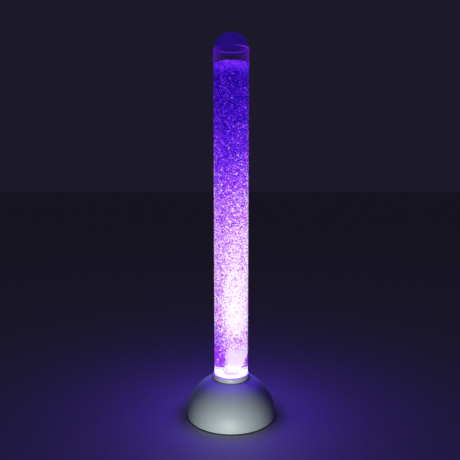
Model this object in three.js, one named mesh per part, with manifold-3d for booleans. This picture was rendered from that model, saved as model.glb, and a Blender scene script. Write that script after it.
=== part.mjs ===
// LED bubble tube lamp: a clear column of bubbling water on a domed base that hides the pump and the lamps.
// Loose in the tube's rim sits a dome cap, and the buttons and the inlet are in a recessed rear panel.
// Millimetres, +Z up. The origin is on the floor under the column's axis, and the front faces -Y.

import * as THREE from 'three';
import { mergeVertices } from 'three/addons/utils/BufferGeometryUtils.js';
import Module from 'manifold-3d';

const wasm = await Module();
wasm.setup();

// Fits
const slip = 0.3; // gap between neighbours that touch
const overrun = 1.5; // how far a cut runs past the face that it opens
const weld = 0.0001; // corners closer than this are one corner

// Facets, counted round a full turn
const roundSides = 40;
const capSides = 32;
const shaftSides = 12;
const smallSides = 8;
const hoseSides = 8;
const hoseSteps = 10;
const leadSides = 6;
const leadSteps = 16;
const domeSteps = 8;
const capSteps = 6;
const swarmSides = 20;
const plumeSteps = 6;
const swarmCapSteps = 4;

// Clear tube and the water in it
const tubeOuterDiameter = 80;
const tubeWall = 3;
const tubeLength = 779;
const tubeEdgeBreak = 0.6;
const headspace = 32; // from the water's edge up to the tube's rim
const surfaceCrown = 2.5; // the rising bubbles heap the water up in the middle

// Dense heart of the rising bubbles: a plume above the stone that widens and fills most of the column
const swarmInset = 7; // from the tube's bore in to the swarm's outermost bubbles
const swarmCover = 16; // water over the swarm's top, at the tube's wall
const swarmCapHeight = 14;
const plumeHeight = 84; // from the stone's top up to the swarm's full width
const plumeLean = 9; // how far the plume leans to the right
const lumpPitch = 12; // from one row of bubbles to the next
const lumpDepth = 5; // on the shaft, and less where the plume is narrower
const lumpLeastShare = 0.5; // the shallowest dent, of the deepest

// Dome cap, a loose plug fit in the tube
const capDomeHeight = 32.4;
const capDomeInset = 2.4; // from the tube's outer face in to the dome's foot
const capWall = 2.2;
const capFlangeThickness = 2.4;
const capFlangeInset = 0.8;
const capSkirtDepth = 9;
const capSkirtWall = 2;
const capVentWidth = 3;
const capVentDepth = 1.1;

// Clear plug that closes the tube's foot
const plugThickness = 12;
const plugRise = 0.5; // the lit floor stands just above the collar
const plugEdgeBreak = 0.8;
const sealWidth = 2.4;
const sealDepth = 1.7;
const stemDiameter = 8;
const stemLength = 12.5;
const airBoreDiameter = 2.4;

// Porous air stone
const stoneDiameter = 26;
const stoneHeight = 9;
const stoneEdgeBreak = 1.5;
const stoneSeatDepth = 2;
const stoneSpigotDiameter = 4;
const stoneSpigotLength = 5;

// Hose and its spigots
const hoseBore = 5;
const hoseWall = 1.5;
const hoseBend = 10;
const spigotDiameter = 4.4;
const spigotRib = 0.15;
const spigotLength = 6;
const stemSpigotLength = 10;
const nozzleReach = 12; // from the pump case to the start of the hose's bend

// Non-return valve in the air line
const valveBodyDiameter = 13;
const valveBodyHeight = 9;
const valveWall = 1.8;
const valveGripCount = 8;
const valveGripDepth = 0.5;

// Domed shell of the base
const footReveal = 2.4; // from the floor to the shell's edge
const shellDiameter = 212;
const shellRise = 98.6;
const shellWall = 2.6;
const crownLand = 1.6; // flat step of the shell round the collar
const bossDiameter = 9;
const gussetThickness = 1.8;
const gussetStart = 8; // from the boss's end up to its gusset

// Trim collar round the tube's foot
const collarWall = 2.2;
const collarHeight = 10;
const collarEdgeRadius = 0.9;
const collarSkirtWall = 1;
const collarSkirtDepth = 7;
const collarBead = 0.6; // snaps under the shell's crown

// Socket that carries the tube under the crown
const socketWall = 3;
const socketDepth = 10;
const socketLedge = 3.5; // from the tube's outer face in to the ledge's edge
const socketLedgeHeight = 5.2;
const socketFloor = 2.5;
const socketFlangeReach = 14;
const socketFlangeThickness = 3;
const socketHoleDiameter = 12;
const socketBossDiameter = 8;

// Screws, all of one size
const screwDiameter = 3;
const screwLength = 14;
const screwHeadDiameter = 5.8;
const screwHeadHeight = 2.1;
const screwCrossWidth = 0.9;
const screwCrossLength = 3.4;
const screwCrossDepth = 1.1;
const coverScrewCount = 4;
const socketScrewCount = 3;

// Light board and its lamps
const ledBoardInset = 2.5; // from the tube's inner face
const boardThickness = 1.6;
const lightGap = 4; // from the lenses up to the plug
const ledCount = 6;
const ledRingInset = 13.5; // from the light board's edge
const ledWidth = 5;
const ledHeight = 1.2;
const ledLensDiameter = 4.2;
const ledLensHeight = 1.2;
const stakeCount = 3;
const stakeRingInset = 4.5; // from the light board's edge
const stakePillarDiameter = 6;
const stakeDiameter = 2.4;
const stakeHeadDiameter = 4.2;
const stakeHeadHeight = 1.2;

// Bottom cover
const coverInset = 0.5; // above the shell's edge
const coverThickness = 3;
const coverLipHeight = 3;
const coverLipWall = 1.8;
const coverLipInset = 0.6;
const screwCupHeight = 2;
const screwCupWall = 2.6;
const coverScrewInset = 14; // from the shell's outer radius
const ventCount = 10;
const ventInnerRadius = 18;
const ventOuterRadius = 34;
const ventWidth = 3;

// Rubber feet
const footCount = 4;
const footDiameter = 18;
const footInset = 22; // from the shell's outer radius
const footRecess = 1;
const footEdgeBreak = 1.2;

// Recessed rear panel
const panelSetback = 13; // from the shell's rearmost point
const panelWidth = 66;
const panelLow = 15;
const panelHeight = 24;
const lightButtonX = -20;
const bubbleButtonX = 0;
const jackX = 20;

// Push buttons and their switches
const buttonDiameter = 10;
const buttonProud = 1.8;
const buttonFlange = 1.4;
const buttonEdgeRadius = 0.8;
const buttonTravel = 1;
const buttonStemDiameter = 3.6;
const switchWidth = 6.2;
const switchDepth = 4.4;
const plungerDiameter = 3.2;
const plungerProud = 1.9;
const plungerLength = 3.9;

// Low-voltage inlet
const jackBodyWidth = 9;
const jackBodyHeight = 11;
const jackBarrelDiameter = 7.8;
const jackProud = 4.5;
const jackSocketDiameter = 5.5;
const jackSocketDepth = 9.5;
const jackPinDiameter = 2.1;
const nutAcrossFlats = 11.5;
const nutThickness = 2.2;

// Control board behind the panel
const boardSetback = 10.7; // from the panel's inner face to the board
const boardWidth = 60;
const boardHeight = 31;
const guideFloor = 2;
const guideWall = 2.4;
const guideGrip = 1.8; // how much of the board's edge a guide holds
const guideHeight = 11;
const chipLength = 10;
const chipWidth = 4;
const chipHeight = 1.8;
const chipLegCount = 4;
const chipLegPitch = 2.4;
const chipLegWidth = 0.9;
const chipLegReach = 1.1;
const chipX = -8;
const capacitorDiameter = 10;
const capacitorLength = 13;
const capacitorX = 17;
const capacitorDent = 0.6;

// Case of the diaphragm air pump
const pumpLength = 52;
const pumpWidth = 66;
const pumpCorner = 5;
const pumpWall = 2;
const pumpInnerHeight = 24;
const lidThickness = 2;
const lidRimDepth = 2;
const lidRimWall = 1.2;
const pivotBossWall = 2;
const pivotBossHeight = 3;
const airSlotCount = 4;
const airSlotLength = 12;
const airSlotWidth = 2;

// Rubber mounts of the pump
const cushionDiameter = 10;
const cushionHeight = 4.9;
const cushionPostDiameter = 3.4;
const cushionInset = 7; // from the pump case's sides
const cushionWaist = 1;

// Air side of the pump
const valveBoxDepth = 12;
const valveBoxWidth = 26;
const chamberDiameter = 19;
const chamberDepth = 3;
const portOffset = 6;
const flapThickness = 0.8;
const flapWidth = 5;
const nozzleRootDiameter = 6.4;
const diaphragmDiameter = 23;
const diaphragmRim = 1.6;
const diaphragmDepth = 7;
const diaphragmSkin = 1.2;
const diaphragmHubDiameter = 10;
const nippleDiameter = 3;
const nippleHeadDiameter = 5;
const nippleHeadLength = 1.4;

// Vibrating arm
const armThickness = 1.2;
const armHeight = 11;
const armPivotInset = 7; // from the case's side to the pin
const armEndGap = 8; // from the arm's end to the case
const armEyeDiameter = 7;
const pinDiameter = 3;
const magnetThickness = 3.5;
const magnetWidth = 12;
const magnetHeight = 11;

// Laminated core and its coil
const magnetGap = 2.6; // room for the arm's swing in front of the poles
const coreDepth = 20;
const coreYoke = 5;
const coreOuterLeg = 4.5;
const coreCentreLeg = 7;
const coreWindow = 5;
const coreStack = 12;
const coreSideGap = 2; // from the core to the inside of the case
const bobbinFlange = 1;
const bobbinCorner = 1.5;
const windingInset = 0.8;
const coilShort = 0.9; // the coil stops this far behind the pole faces

// Inner leads
const leadDiameter = 2.4;
const leadHoleGap = 0.6;
const pumpLeadHeight = 8.5; // above the pump's mid height
const ledLeadX = 15;
const ledLeadY = 12;

// Radii that follow from the sizes above
const tubeRadius = tubeOuterDiameter / 2;
const tubeBore = tubeRadius - tubeWall;
const shellRadius = shellDiameter / 2;
const collarBore = tubeRadius + slip;
const collarRadius = collarBore + collarWall;
const skirtRadius = collarBore + collarSkirtWall;
const crownOpening = skirtRadius + slip;
const crownRadius = collarRadius + crownLand;
const plugRadius = tubeBore - slip;
const swarmRadius = tubeBore - swarmInset;
const cupRadius = collarBore + socketWall;
const socketScrewRadius = cupRadius + socketFlangeReach / 2;
const coverScrewRadius = shellRadius - coverScrewInset;
const coverRadius = shellRadius - shellWall - 2 * slip;
const hoseRadius = hoseBore / 2 + hoseWall;
const ledBoardRadius = tubeBore - ledBoardInset;
const ledRingRadius = ledBoardRadius - ledRingInset;
const stakeRingRadius = ledBoardRadius - stakeRingInset;

// Heights that follow from the sizes above, from the crown down and up
const crownTop = footReveal + shellRise * Math.sqrt(1 - (crownRadius / shellRadius) ** 2);
const collarFoot = crownTop + slip;
const collarTop = collarFoot + collarHeight;
const cupTop = crownTop - collarSkirtDepth - slip;
const tubeFoot = cupTop - socketDepth;
const tubeRim = tubeFoot + tubeLength;
const ledgeTop = tubeFoot - slip;
const socketFloorTop = ledgeTop - socketLedgeHeight;
const socketBottom = socketFloorTop - socketFloor;
const plugTop = collarTop + plugRise;
const plugBottom = plugTop - plugThickness;
const stemShoulder = plugBottom - stemLength;
const stoneFoot = plugTop - stoneSeatDepth + slip;
const waterFoot = plugTop + slip;
const waterEdge = tubeRim - headspace;
const stoneTop = stoneFoot + stoneHeight;
const swarmFoot = stoneTop + slip;
const swarmTop = waterEdge - swarmCover;
const capFoot = tubeRim + slip;
const ledTop = plugBottom - lightGap;
const ledFoot = ledTop - ledHeight - ledLensHeight;
const ledBoardTop = ledFoot - slip;
const ledBoardBottom = ledBoardTop - boardThickness;

// Heights from the floor up
const coverBottom = footReveal + coverInset;
const coverTop = coverBottom + coverThickness;
const screwCupTop = coverTop + screwCupHeight;
const pumpBottom = coverTop + cushionHeight + 2 * slip;
const pumpFloor = pumpBottom + pumpWall;
const pumpMid = pumpFloor + pumpInnerHeight / 2;
const pumpTop = pumpFloor + pumpInnerHeight;
const panelMid = panelLow + panelHeight / 2;

// The rear panel's depths along Y
const panelPlane = shellRadius - panelSetback;
const panelInner = panelPlane - shellWall;
const boardRear = panelInner - boardSetback;
const boardFront = boardRear - boardThickness;
const switchFoot = boardRear + slip;
const switchTop = switchFoot + switchDepth;
const plungerTop = switchTop + plungerProud;
const buttonFlangeTop = panelInner - slip;
const buttonFlangeFoot = buttonFlangeTop - buttonFlange;

// The pump's places along X, from the nozzle back to the core
const pumpRight = -(hoseBend + nozzleReach);
const pumpLeft = pumpRight - pumpLength;
const valveBoxRight = pumpRight - pumpWall - slip;
const valveBoxLeft = valveBoxRight - valveBoxDepth;
const diaphragmRight = valveBoxLeft - slip;
const diaphragmLeft = diaphragmRight - diaphragmDepth;
const armRight = diaphragmLeft - slip;
const armLeft = armRight - armThickness;
const magnetRight = armLeft - slip;
const magnetLeft = magnetRight - magnetThickness;
const poleFace = magnetLeft - magnetGap;
const coreBack = poleFace - coreDepth;
const coreWidth = 2 * (coreOuterLeg + coreWindow) + coreCentreLeg;

// The pump's places along Y: the pin near the front side, the core and its magnet near the rear side
const armPivotOffset = pumpWidth / 2 - armPivotInset;
const magnetOffset = pumpWidth / 2 - pumpWall - coreSideGap - coreWidth / 2;

// A closed solid from one of three's geometries
function toSolid(geometry) {
  const bare = geometry.clone();
  bare.deleteAttribute('normal');
  bare.deleteAttribute('uv');
  const welded = mergeVertices(bare, weld);
  const places = welded.attributes.position;
  const corner = (index) => new THREE.Vector3().fromBufferAttribute(places, index);
  const faces = [];
  let sixVolumes = 0;
  for (let i = 0; i < welded.index.count; i += 3) {
    const [a, b, c] = [0, 1, 2].map((k) => welded.index.getX(i + k));
    if (a === b || b === c || c === a) continue;
    faces.push([a, b, c]);
    sixVolumes += corner(a).dot(corner(b).cross(corner(c)));
  }
  const outward = sixVolumes > 0 ? faces : faces.map(([a, b, c]) => [a, c, b]);
  return new wasm.Manifold(
    new wasm.Mesh({ numProp: 3, vertProperties: places.array, triVerts: new Uint32Array(outward.flat()) }),
  );
}

// One of three's geometries from a solid
function toGeometry(solid) {
  const mesh = solid.getMesh();
  const geometry = new THREE.BufferGeometry();
  geometry.setAttribute('position', new THREE.BufferAttribute(new Float32Array(mesh.vertProperties), 3));
  geometry.setIndex(new THREE.BufferAttribute(new Uint32Array(mesh.triVerts), 1));
  geometry.computeVertexNormals();
  return geometry;
}

const joined = (solids) => solids.reduce((whole, piece) => whole.add(piece));
const without = (solid, cuts) => cuts.reduce((rest, cut) => rest.subtract(cut), solid);

// A revolved solid about X, Y or Z from [radius, distance along the axis] pairs
function turned(outline, sides = roundSides, axis = 'z') {
  const closed = outline[0][0] === 0 ? outline : [...outline, outline[0]];
  const geometry = new THREE.LatheGeometry(closed.map(([r, h]) => new THREE.Vector2(r, h)), sides);
  if (axis === 'z') geometry.rotateX(Math.PI / 2);
  if (axis === 'x') geometry.rotateZ(-Math.PI / 2);
  return geometry;
}

// A round rod about X, Y or Z between two distances along that axis
function rod(radius, from, to, sides = shaftSides, axis = 'z') {
  return turned([[0, from], [radius, from], [radius, to], [0, to]], sides, axis);
}

function block([left, right], [front, back], [bottom, top]) {
  const box = new THREE.BoxGeometry(right - left, back - front, top - bottom);
  return box.translate((left + right) / 2, (front + back) / 2, (bottom + top) / 2);
}

const about = (centre, size) => [centre - size / 2, centre + size / 2];

// A rectangle with round corners, drawn about its own middle
function roundedRectangle(width, height, corner) {
  const x = width / 2 - corner;
  const y = height / 2 - corner;
  const shape = new THREE.Shape();
  shape.absarc(x, y, corner, 0, Math.PI / 2);
  shape.absarc(-x, y, corner, Math.PI / 2, Math.PI);
  shape.absarc(-x, -y, corner, Math.PI, 1.5 * Math.PI);
  shape.absarc(x, -y, corner, 1.5 * Math.PI, 2 * Math.PI);
  return shape;
}

// A flat outline raised along Z
function slab(shape, bottom, top, curveSegments = 2) {
  const settings = { depth: top - bottom, bevelEnabled: false, curveSegments };
  return new THREE.ExtrudeGeometry(shape, settings).translate(0, 0, bottom);
}

const polygon = (radius, sides) =>
  Array.from({ length: sides }, (_, i) => {
    const angle = (i * 2 * Math.PI) / sides;
    return new THREE.Vector2(radius * Math.cos(angle), radius * Math.sin(angle));
  });

// A closed solid through rings of points, from the lowest ring up
function lofted(rings) {
  const sides = rings[0].length;
  const middle = (ring) =>
    ring.reduce((sum, point) => sum.add(point), new THREE.Vector3()).divideScalar(sides);
  const points = [...rings.flat(), middle(rings.at(0)), middle(rings.at(-1))];
  const footMiddle = rings.length * sides;
  const topMiddle = footMiddle + 1;
  const topRing = (rings.length - 1) * sides;
  const corners = [];
  for (let k = 0; k < sides; k += 1) {
    const next = (k + 1) % sides;
    corners.push(footMiddle, next, k);
    corners.push(topMiddle, topRing + k, topRing + next);
    for (let foot = 0; foot < topRing; foot += sides) {
      corners.push(foot + k, foot + next, foot + sides + next);
      corners.push(foot + k, foot + sides + next, foot + sides + k);
    }
  }
  const geometry = new THREE.BufferGeometry().setFromPoints(points);
  geometry.setIndex(corners);
  return geometry;
}

// A hose or lead along a smooth curve, with a bore if it has one
function pipe(points, radius, bore, sides, steps) {
  const section = new THREE.Shape(polygon(radius, sides));
  if (bore > 0) section.holes.push(new THREE.Path(polygon(bore, sides)));
  const route = new THREE.CatmullRomCurve3(points, false, 'centripetal');
  return new THREE.ExtrudeGeometry(section, { steps, extrudePath: route, bevelEnabled: false });
}

// Places evenly round the axis
function ringPlaces(count, radius, firstTurn = 0) {
  return Array.from({ length: count }, (_, i) => {
    const angle = 2 * Math.PI * (firstTurn + i / count);
    return { angle, x: radius * Math.cos(angle), y: radius * Math.sin(angle) };
  });
}

const quarterTurn = 1 / 4;
const eighthTurn = 1 / 8;
const coverScrewPlaces = ringPlaces(coverScrewCount, coverScrewRadius, eighthTurn);
const socketScrewPlaces = ringPlaces(socketScrewCount, socketScrewRadius, quarterTurn);
const footPlaces = ringPlaces(footCount, shellRadius - footInset);
const stakePlaces = ringPlaces(stakeCount, stakeRingRadius, quarterTurn);
const ledPlaces = ringPlaces(ledCount, ledRingRadius);
const pumpMiddle = (pumpLeft + pumpRight) / 2;
const cushionPlaces = [-1, 1].flatMap((sideX) =>
  [-1, 1].map((sideY) => ({
    x: pumpMiddle + sideX * (pumpLength / 2 - cushionInset),
    y: sideY * (pumpWidth / 2 - cushionInset),
  })),
);

// Points of a half-ellipse arch, from its foot up to the crown or over to the axis
function arch(radius, rise, foot, endRadius, steps) {
  const last = Math.acos(endRadius / radius);
  return Array.from({ length: steps + 1 }, (_, i) => {
    const lean = (last * i) / steps;
    const onAxis = i === steps && endRadius === 0;
    return [onAxis ? 0 : radius * Math.cos(lean), foot + rise * Math.sin(lean)];
  });
}

// The dome's own solid, smaller by a depth all over, standing on a named foot
function domeSolid(depth, foot = footReveal) {
  const radius = shellRadius - depth;
  const top = crownTop - depth;
  const endShare = Math.sqrt(1 - ((top - footReveal) / (shellRise - depth)) ** 2);
  const side = arch(radius, shellRise - depth, footReveal, radius * endShare, domeSteps);
  return toSolid(turned([[0, foot], [radius, foot], ...side, [0, top]]));
}

// A hollow boss on the dome's inside, with a gusset to the wall
function shellBoss(place, radius, foot, withGusset) {
  const post = upright(place, radius, foot, crownTop, shaftSides);
  if (!withGusset) return post;
  const ring = Math.hypot(place.x, place.y);
  const web = block([ring, shellRadius], about(0, gussetThickness), [foot + gussetStart, crownTop]);
  return post.add(toSolid(web.rotateZ(place.angle)));
}

// A round upright hole or post at a place
const upright = ({ x, y }, radius, foot, top, sides = smallSides) =>
  toSolid(rod(radius, foot, top, sides).translate(x, y, 0));

const pilotHole = (place, foot, length) =>
  upright(place, screwDiameter / 2 + slip, foot - overrun, foot + length);

// Base shell: a moulded dome with a crown opening, screw bosses and a recessed rear panel
function baseShell() {
  const dome = domeSolid(0);
  const hollow = domeSolid(shellWall, footReveal - overrun);
  const wallMiddle = domeSolid(shellWall / 2);
  const bossFoot = screwCupTop + slip;
  const socketBossFoot = socketBottom + socketFlangeThickness + slip;
  const bosses = joined([
    ...coverScrewPlaces.map((place) => shellBoss(place, bossDiameter / 2, bossFoot, true)),
    ...socketScrewPlaces.map((place) => shellBoss(place, socketBossDiameter / 2, socketBossFoot, false)),
  ]).intersect(wallMiddle);
  const panelBox = (margin, from, to) =>
    toSolid(block(about(0, panelWidth + 2 * margin), [from, to], about(panelMid, panelHeight + 2 * margin)));
  const tub = panelBox(shellWall, panelInner, shellRadius).intersect(dome);
  const panelHole = (x, diameter) => {
    const bore = rod(diameter / 2 + slip, panelInner - overrun, panelPlane + overrun, shaftSides, 'y');
    return toSolid(bore.translate(x, 0, panelMid));
  };
  return without(joined([dome.subtract(hollow), bosses, tub]), [
    toSolid(rod(crownOpening, crownTop - shellWall - overrun, crownTop + overrun, roundSides)),
    panelBox(0, panelPlane, shellRadius + overrun),
    panelHole(lightButtonX, buttonDiameter),
    panelHole(bubbleButtonX, buttonDiameter),
    panelHole(jackX, jackBarrelDiameter),
    ...coverScrewPlaces.map((place) => pilotHole(place, bossFoot, screwLength)),
    ...socketScrewPlaces.map((place) =>
      pilotHole(place, socketBossFoot, screwLength - socketFlangeThickness)),
  ]);
}

// Bottom cover: round plate with a locating lip, screw cups, foot recesses, vents, pump posts and
// board guides
function baseCover() {
  const lipRadius = coverRadius - coverLipInset;
  const plate = toSolid(turned([
    [0, coverBottom],
    [coverRadius, coverBottom],
    [coverRadius, coverTop],
    [lipRadius, coverTop],
    [lipRadius, coverTop + coverLipHeight],
    [lipRadius - coverLipWall, coverTop + coverLipHeight],
    [lipRadius - coverLipWall, coverTop],
    [0, coverTop],
  ]));
  const headRadius = screwHeadDiameter / 2 + slip;
  const cups = coverScrewPlaces.map((place) =>
    upright(place, headRadius + screwCupWall, coverTop - slip, screwCupTop, shaftSides));
  const posts = cushionPlaces.map((place) =>
    upright(place, cushionPostDiameter / 2, coverTop - slip, coverTop + cushionHeight));
  const guides = [-1, 1].map(boardGuide);
  const sunk = coverScrewPlaces.flatMap((place) => [
    upright(place, headRadius, coverBottom - overrun, coverTop, shaftSides),
    upright(place, screwDiameter / 2 + slip, coverTop - slip, screwCupTop + overrun),
  ]);
  const recesses = footPlaces.map((place) =>
    upright(place, footDiameter / 2 + slip, coverBottom - overrun, coverBottom + footRecess, shaftSides));
  const through = [coverBottom - overrun, coverTop + overrun];
  const vents = ringPlaces(ventCount, 0).map(({ angle }) => {
    const slot = block([ventInnerRadius, ventOuterRadius], about(0, ventWidth), through);
    return toSolid(slot.rotateZ(angle));
  });
  return without(joined([plate, ...cups, ...posts, ...guides]), [...sunk, ...recesses, ...vents]);
}

// A slotted post that holds one edge of the upright board
function boardGuide(side) {
  const edge = boardWidth / 2 + slip;
  const inner = boardWidth / 2 - guideGrip;
  const slotY = [boardFront - slip, boardRear + slip];
  const postY = [slotY[0] - guideWall, slotY[1] + guideWall];
  const top = coverTop + guideHeight;
  const post = block([inner, edge + guideWall], postY, [coverTop - slip, top]);
  const slot = block([inner - overrun, edge], slotY, [coverTop + guideFloor, top + overrun]);
  const guide = toSolid(post).subtract(toSolid(slot));
  return side > 0 ? guide : guide.mirror([1, 0, 0]);
}

// Rubber foot, pressed into its recess
function rubberFoot({ x, y }) {
  const radius = footDiameter / 2;
  const top = coverBottom + footRecess - slip;
  const outline = [[0, 0], [radius - footEdgeBreak, 0], [radius, footEdgeBreak], [radius, top], [0, top]];
  return toSolid(turned(outline, shaftSides).translate(x, y, 0));
}

// Self-tapping screw with a round head below and a cross recess
function screw({ x, y }, headTop) {
  const head = screwHeadDiameter / 2;
  const shank = screwDiameter / 2;
  const headBottom = headTop - screwHeadHeight;
  const body = toSolid(turned([
    [0, headBottom],
    [head - screwHeadHeight / 2, headBottom],
    [head, headTop - screwHeadHeight / 2],
    [head, headTop],
    [shank, headTop],
    [shank, headTop + screwLength - screwDiameter],
    [0, headTop + screwLength],
  ], smallSides));
  const sunk = [headBottom - overrun, headBottom + screwCrossDepth];
  const cross = [
    toSolid(block(about(0, screwCrossLength), about(0, screwCrossWidth), sunk)),
    toSolid(block(about(0, screwCrossWidth), about(0, screwCrossLength), sunk)),
  ];
  return toSolid(toGeometry(without(body, cross)).translate(x, y, 0));
}

// Trim collar with a rounded top edge and a snap skirt
function tubeCollar() {
  const turnSteps = 2;
  const edge = Array.from({ length: turnSteps + 1 }, (_, i) => {
    const lean = (Math.PI / 2) * (i / turnSteps);
    return [
      collarRadius - collarEdgeRadius * (1 - Math.cos(lean)),
      collarTop - collarEdgeRadius * (1 - Math.sin(lean)),
    ];
  });
  const skirtFoot = crownTop - collarSkirtDepth;
  const beadTop = crownTop - shellWall - slip;
  return toSolid(turned([
    [collarBore, skirtFoot],
    [skirtRadius, skirtFoot],
    [skirtRadius + collarBead, (skirtFoot + beadTop) / 2],
    [skirtRadius, beadTop],
    [skirtRadius, collarFoot],
    [collarRadius, collarFoot],
    ...edge,
    [collarBore, collarTop],
  ]));
}

// Socket: cup for the tube's foot, flange for the screws, pillars for the light board
function tubeSocket() {
  const holeRadius = socketHoleDiameter / 2;
  const ledgeRadius = tubeRadius - socketLedge;
  const flangeRadius = cupRadius + socketFlangeReach;
  const flangeTop = socketBottom + socketFlangeThickness;
  const cup = toSolid(turned([
    [holeRadius, socketBottom],
    [flangeRadius, socketBottom],
    [flangeRadius, flangeTop],
    [cupRadius, flangeTop],
    [cupRadius, cupTop],
    [collarBore, cupTop],
    [collarBore, ledgeTop],
    [ledgeRadius, ledgeTop],
    [ledgeRadius, socketFloorTop],
    [holeRadius, socketFloorTop],
  ]));
  const pillarTop = ledBoardBottom - slip;
  const stakeTop = ledBoardTop + slip + stakeHeadHeight;
  const stakes = stakePlaces.map(({ x, y }) =>
    toSolid(turned([
      [0, socketFloorTop - slip],
      [stakePillarDiameter / 2, socketFloorTop - slip],
      [stakePillarDiameter / 2, pillarTop],
      [stakeDiameter / 2, pillarTop],
      [stakeDiameter / 2, ledBoardTop + slip],
      [stakeHeadDiameter / 2, ledBoardTop + slip],
      [0, stakeTop],
    ], smallSides).translate(x, y, 0)));
  const screwHoles = socketScrewPlaces.map((place) =>
    upright(place, screwDiameter / 2 + slip, socketBottom - overrun, flangeTop + overrun));
  const leadPlace = { x: ledLeadX, y: ledLeadY };
  const leadHoleRadius = leadDiameter / 2 + leadHoleGap;
  const leadHole = upright(leadPlace, leadHoleRadius, socketBottom - overrun, socketFloorTop + overrun);
  return without(joined([cup, ...stakes]), [...screwHoles, leadHole]);
}

// Clear tube with polished, broken edges
function clearTube() {
  const edge = tubeEdgeBreak;
  return toSolid(turned([
    [tubeBore, tubeFoot],
    [tubeRadius, tubeFoot],
    [tubeRadius, tubeRim - edge],
    [tubeRadius - edge, tubeRim],
    [tubeBore + edge, tubeRim],
    [tubeBore, tubeRim - edge],
  ]));
}

// A ribbed hose spigot's outline from its open end to its root, upwards or downwards
function spigotOutline(tip, root) {
  const radius = spigotDiameter / 2;
  const ribs = 2;
  const pitch = (root - tip) / ribs;
  return Array.from({ length: ribs }, (_, i) => [
    [radius - spigotRib, tip + pitch * i],
    [radius, tip + pitch * (i + 1)],
  ]).flat();
}

// Clear plug: floor of the tube, with a seal groove, a seat for the stone and an air stem below
function tubePlug() {
  const grooveTop = (plugTop + plugBottom) / 2 + sealWidth / 2;
  const seatRadius = stoneDiameter / 2 + slip;
  const seatFloor = plugTop - stoneSeatDepth;
  const spigotFloor = seatFloor - stoneSpigotLength;
  const stemFoot = stemShoulder - stemSpigotLength;
  const disc = toSolid(turned([
    [0, plugBottom],
    [plugRadius, plugBottom],
    [plugRadius, grooveTop - sealWidth],
    [plugRadius - sealDepth, grooveTop - sealWidth],
    [plugRadius - sealDepth, grooveTop],
    [plugRadius, grooveTop],
    [plugRadius, plugTop - plugEdgeBreak],
    [plugRadius - plugEdgeBreak, plugTop],
    [seatRadius, plugTop],
    [seatRadius, seatFloor],
    [0, seatFloor],
  ], capSides));
  const stem = toSolid(turned([
    [0, stemFoot],
    ...spigotOutline(stemFoot, stemShoulder),
    [stemDiameter / 2, stemShoulder],
    [stemDiameter / 2, plugBottom + slip],
    [0, plugBottom + slip],
  ], shaftSides));
  return without(disc.add(stem), [
    toSolid(rod(airBoreDiameter / 2, stemFoot - overrun, seatFloor, smallSides)),
    toSolid(rod(stoneSpigotDiameter / 2 + slip, spigotFloor, seatFloor + overrun)),
  ]);
}

// Sealing ring in the plug's groove
function tubeSeal() {
  const section = (sealDepth - slip) / 2;
  const middle = (plugTop + plugBottom) / 2;
  const sectionSides = 6;
  const outline = Array.from({ length: sectionSides }, (_, i) => {
    const angle = (i * 2 * Math.PI) / sectionSides;
    return [plugRadius - section + section * Math.cos(angle), middle + section * Math.sin(angle)];
  });
  return toSolid(turned(outline, capSides));
}

// Air stone: porous puck with a spigot
function airStone() {
  const radius = stoneDiameter / 2;
  const spigot = stoneSpigotDiameter / 2;
  return toSolid(turned([
    [0, stoneFoot - stoneSpigotLength + slip],
    [spigot, stoneFoot - stoneSpigotLength + slip],
    [spigot, stoneFoot],
    [radius, stoneFoot],
    [radius, stoneTop - stoneEdgeBreak],
    [radius - stoneEdgeBreak, stoneTop],
    [0, stoneTop],
  ], shaftSides));
}

// Heights, radii and leans of the swarm: the plume, the straight shaft and the rounded top
function swarmStations(shaftRows) {
  const plumeRadius = stoneDiameter / 2;
  const capFootHeight = swarmTop - swarmCapHeight;
  const shaftFoot = swarmFoot + plumeHeight;
  const plume = Array.from({ length: plumeSteps + 1 }, (_, i) => {
    const share = i / plumeSteps;
    return {
      z: swarmFoot + plumeHeight * share,
      r: plumeRadius + (swarmRadius - plumeRadius) * THREE.MathUtils.smoothstep(share, 0, 1),
      x: i < plumeSteps ? plumeLean * Math.sin(Math.PI * share) : 0,
    };
  });
  const shaft = Array.from({ length: shaftRows }, (_, i) => ({
    z: shaftFoot + ((capFootHeight - shaftFoot) * (i + 1)) / shaftRows,
    r: swarmRadius,
    x: 0,
  }));
  const cap = Array.from({ length: swarmCapSteps - 1 }, (_, i) => {
    const lean = (Math.PI * (i + 1)) / (2 * swarmCapSteps);
    return { z: capFootHeight + swarmCapHeight * Math.sin(lean), r: swarmRadius * Math.cos(lean), x: 0 };
  });
  return { body: [...plume, ...shaft], cap };
}

// One ring of points round a station of the swarm
const swarmRing = ({ x, z, r }, dent) =>
  Array.from({ length: swarmSides }, (_, k) => {
    const angle = (2 * Math.PI * k) / swarmSides;
    const reach = r - dent(k);
    return new THREE.Vector3(x + reach * Math.cos(angle), reach * Math.sin(angle), z);
  });

// Heart of the swarm: rows of close-packed lumps, each row set between those of the row below
function bubbleSwarm() {
  const shaftHeight = swarmTop - swarmCapHeight - swarmFoot - plumeHeight;
  const { body, cap } = swarmStations(Math.round(shaftHeight / lumpPitch));
  const rows = body.map((station, row) =>
    swarmRing(station, (k) => {
      const between = (row + k) % 2;
      const share = 1 - ((1 - lumpLeastShare) * (1 + Math.sin(row * row + k))) / 2;
      return (between * lumpDepth * share * station.r) / swarmRadius;
    }));
  return toSolid(lofted([...rows, ...cap.map((station) => swarmRing(station, () => 0))]));
}

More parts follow.
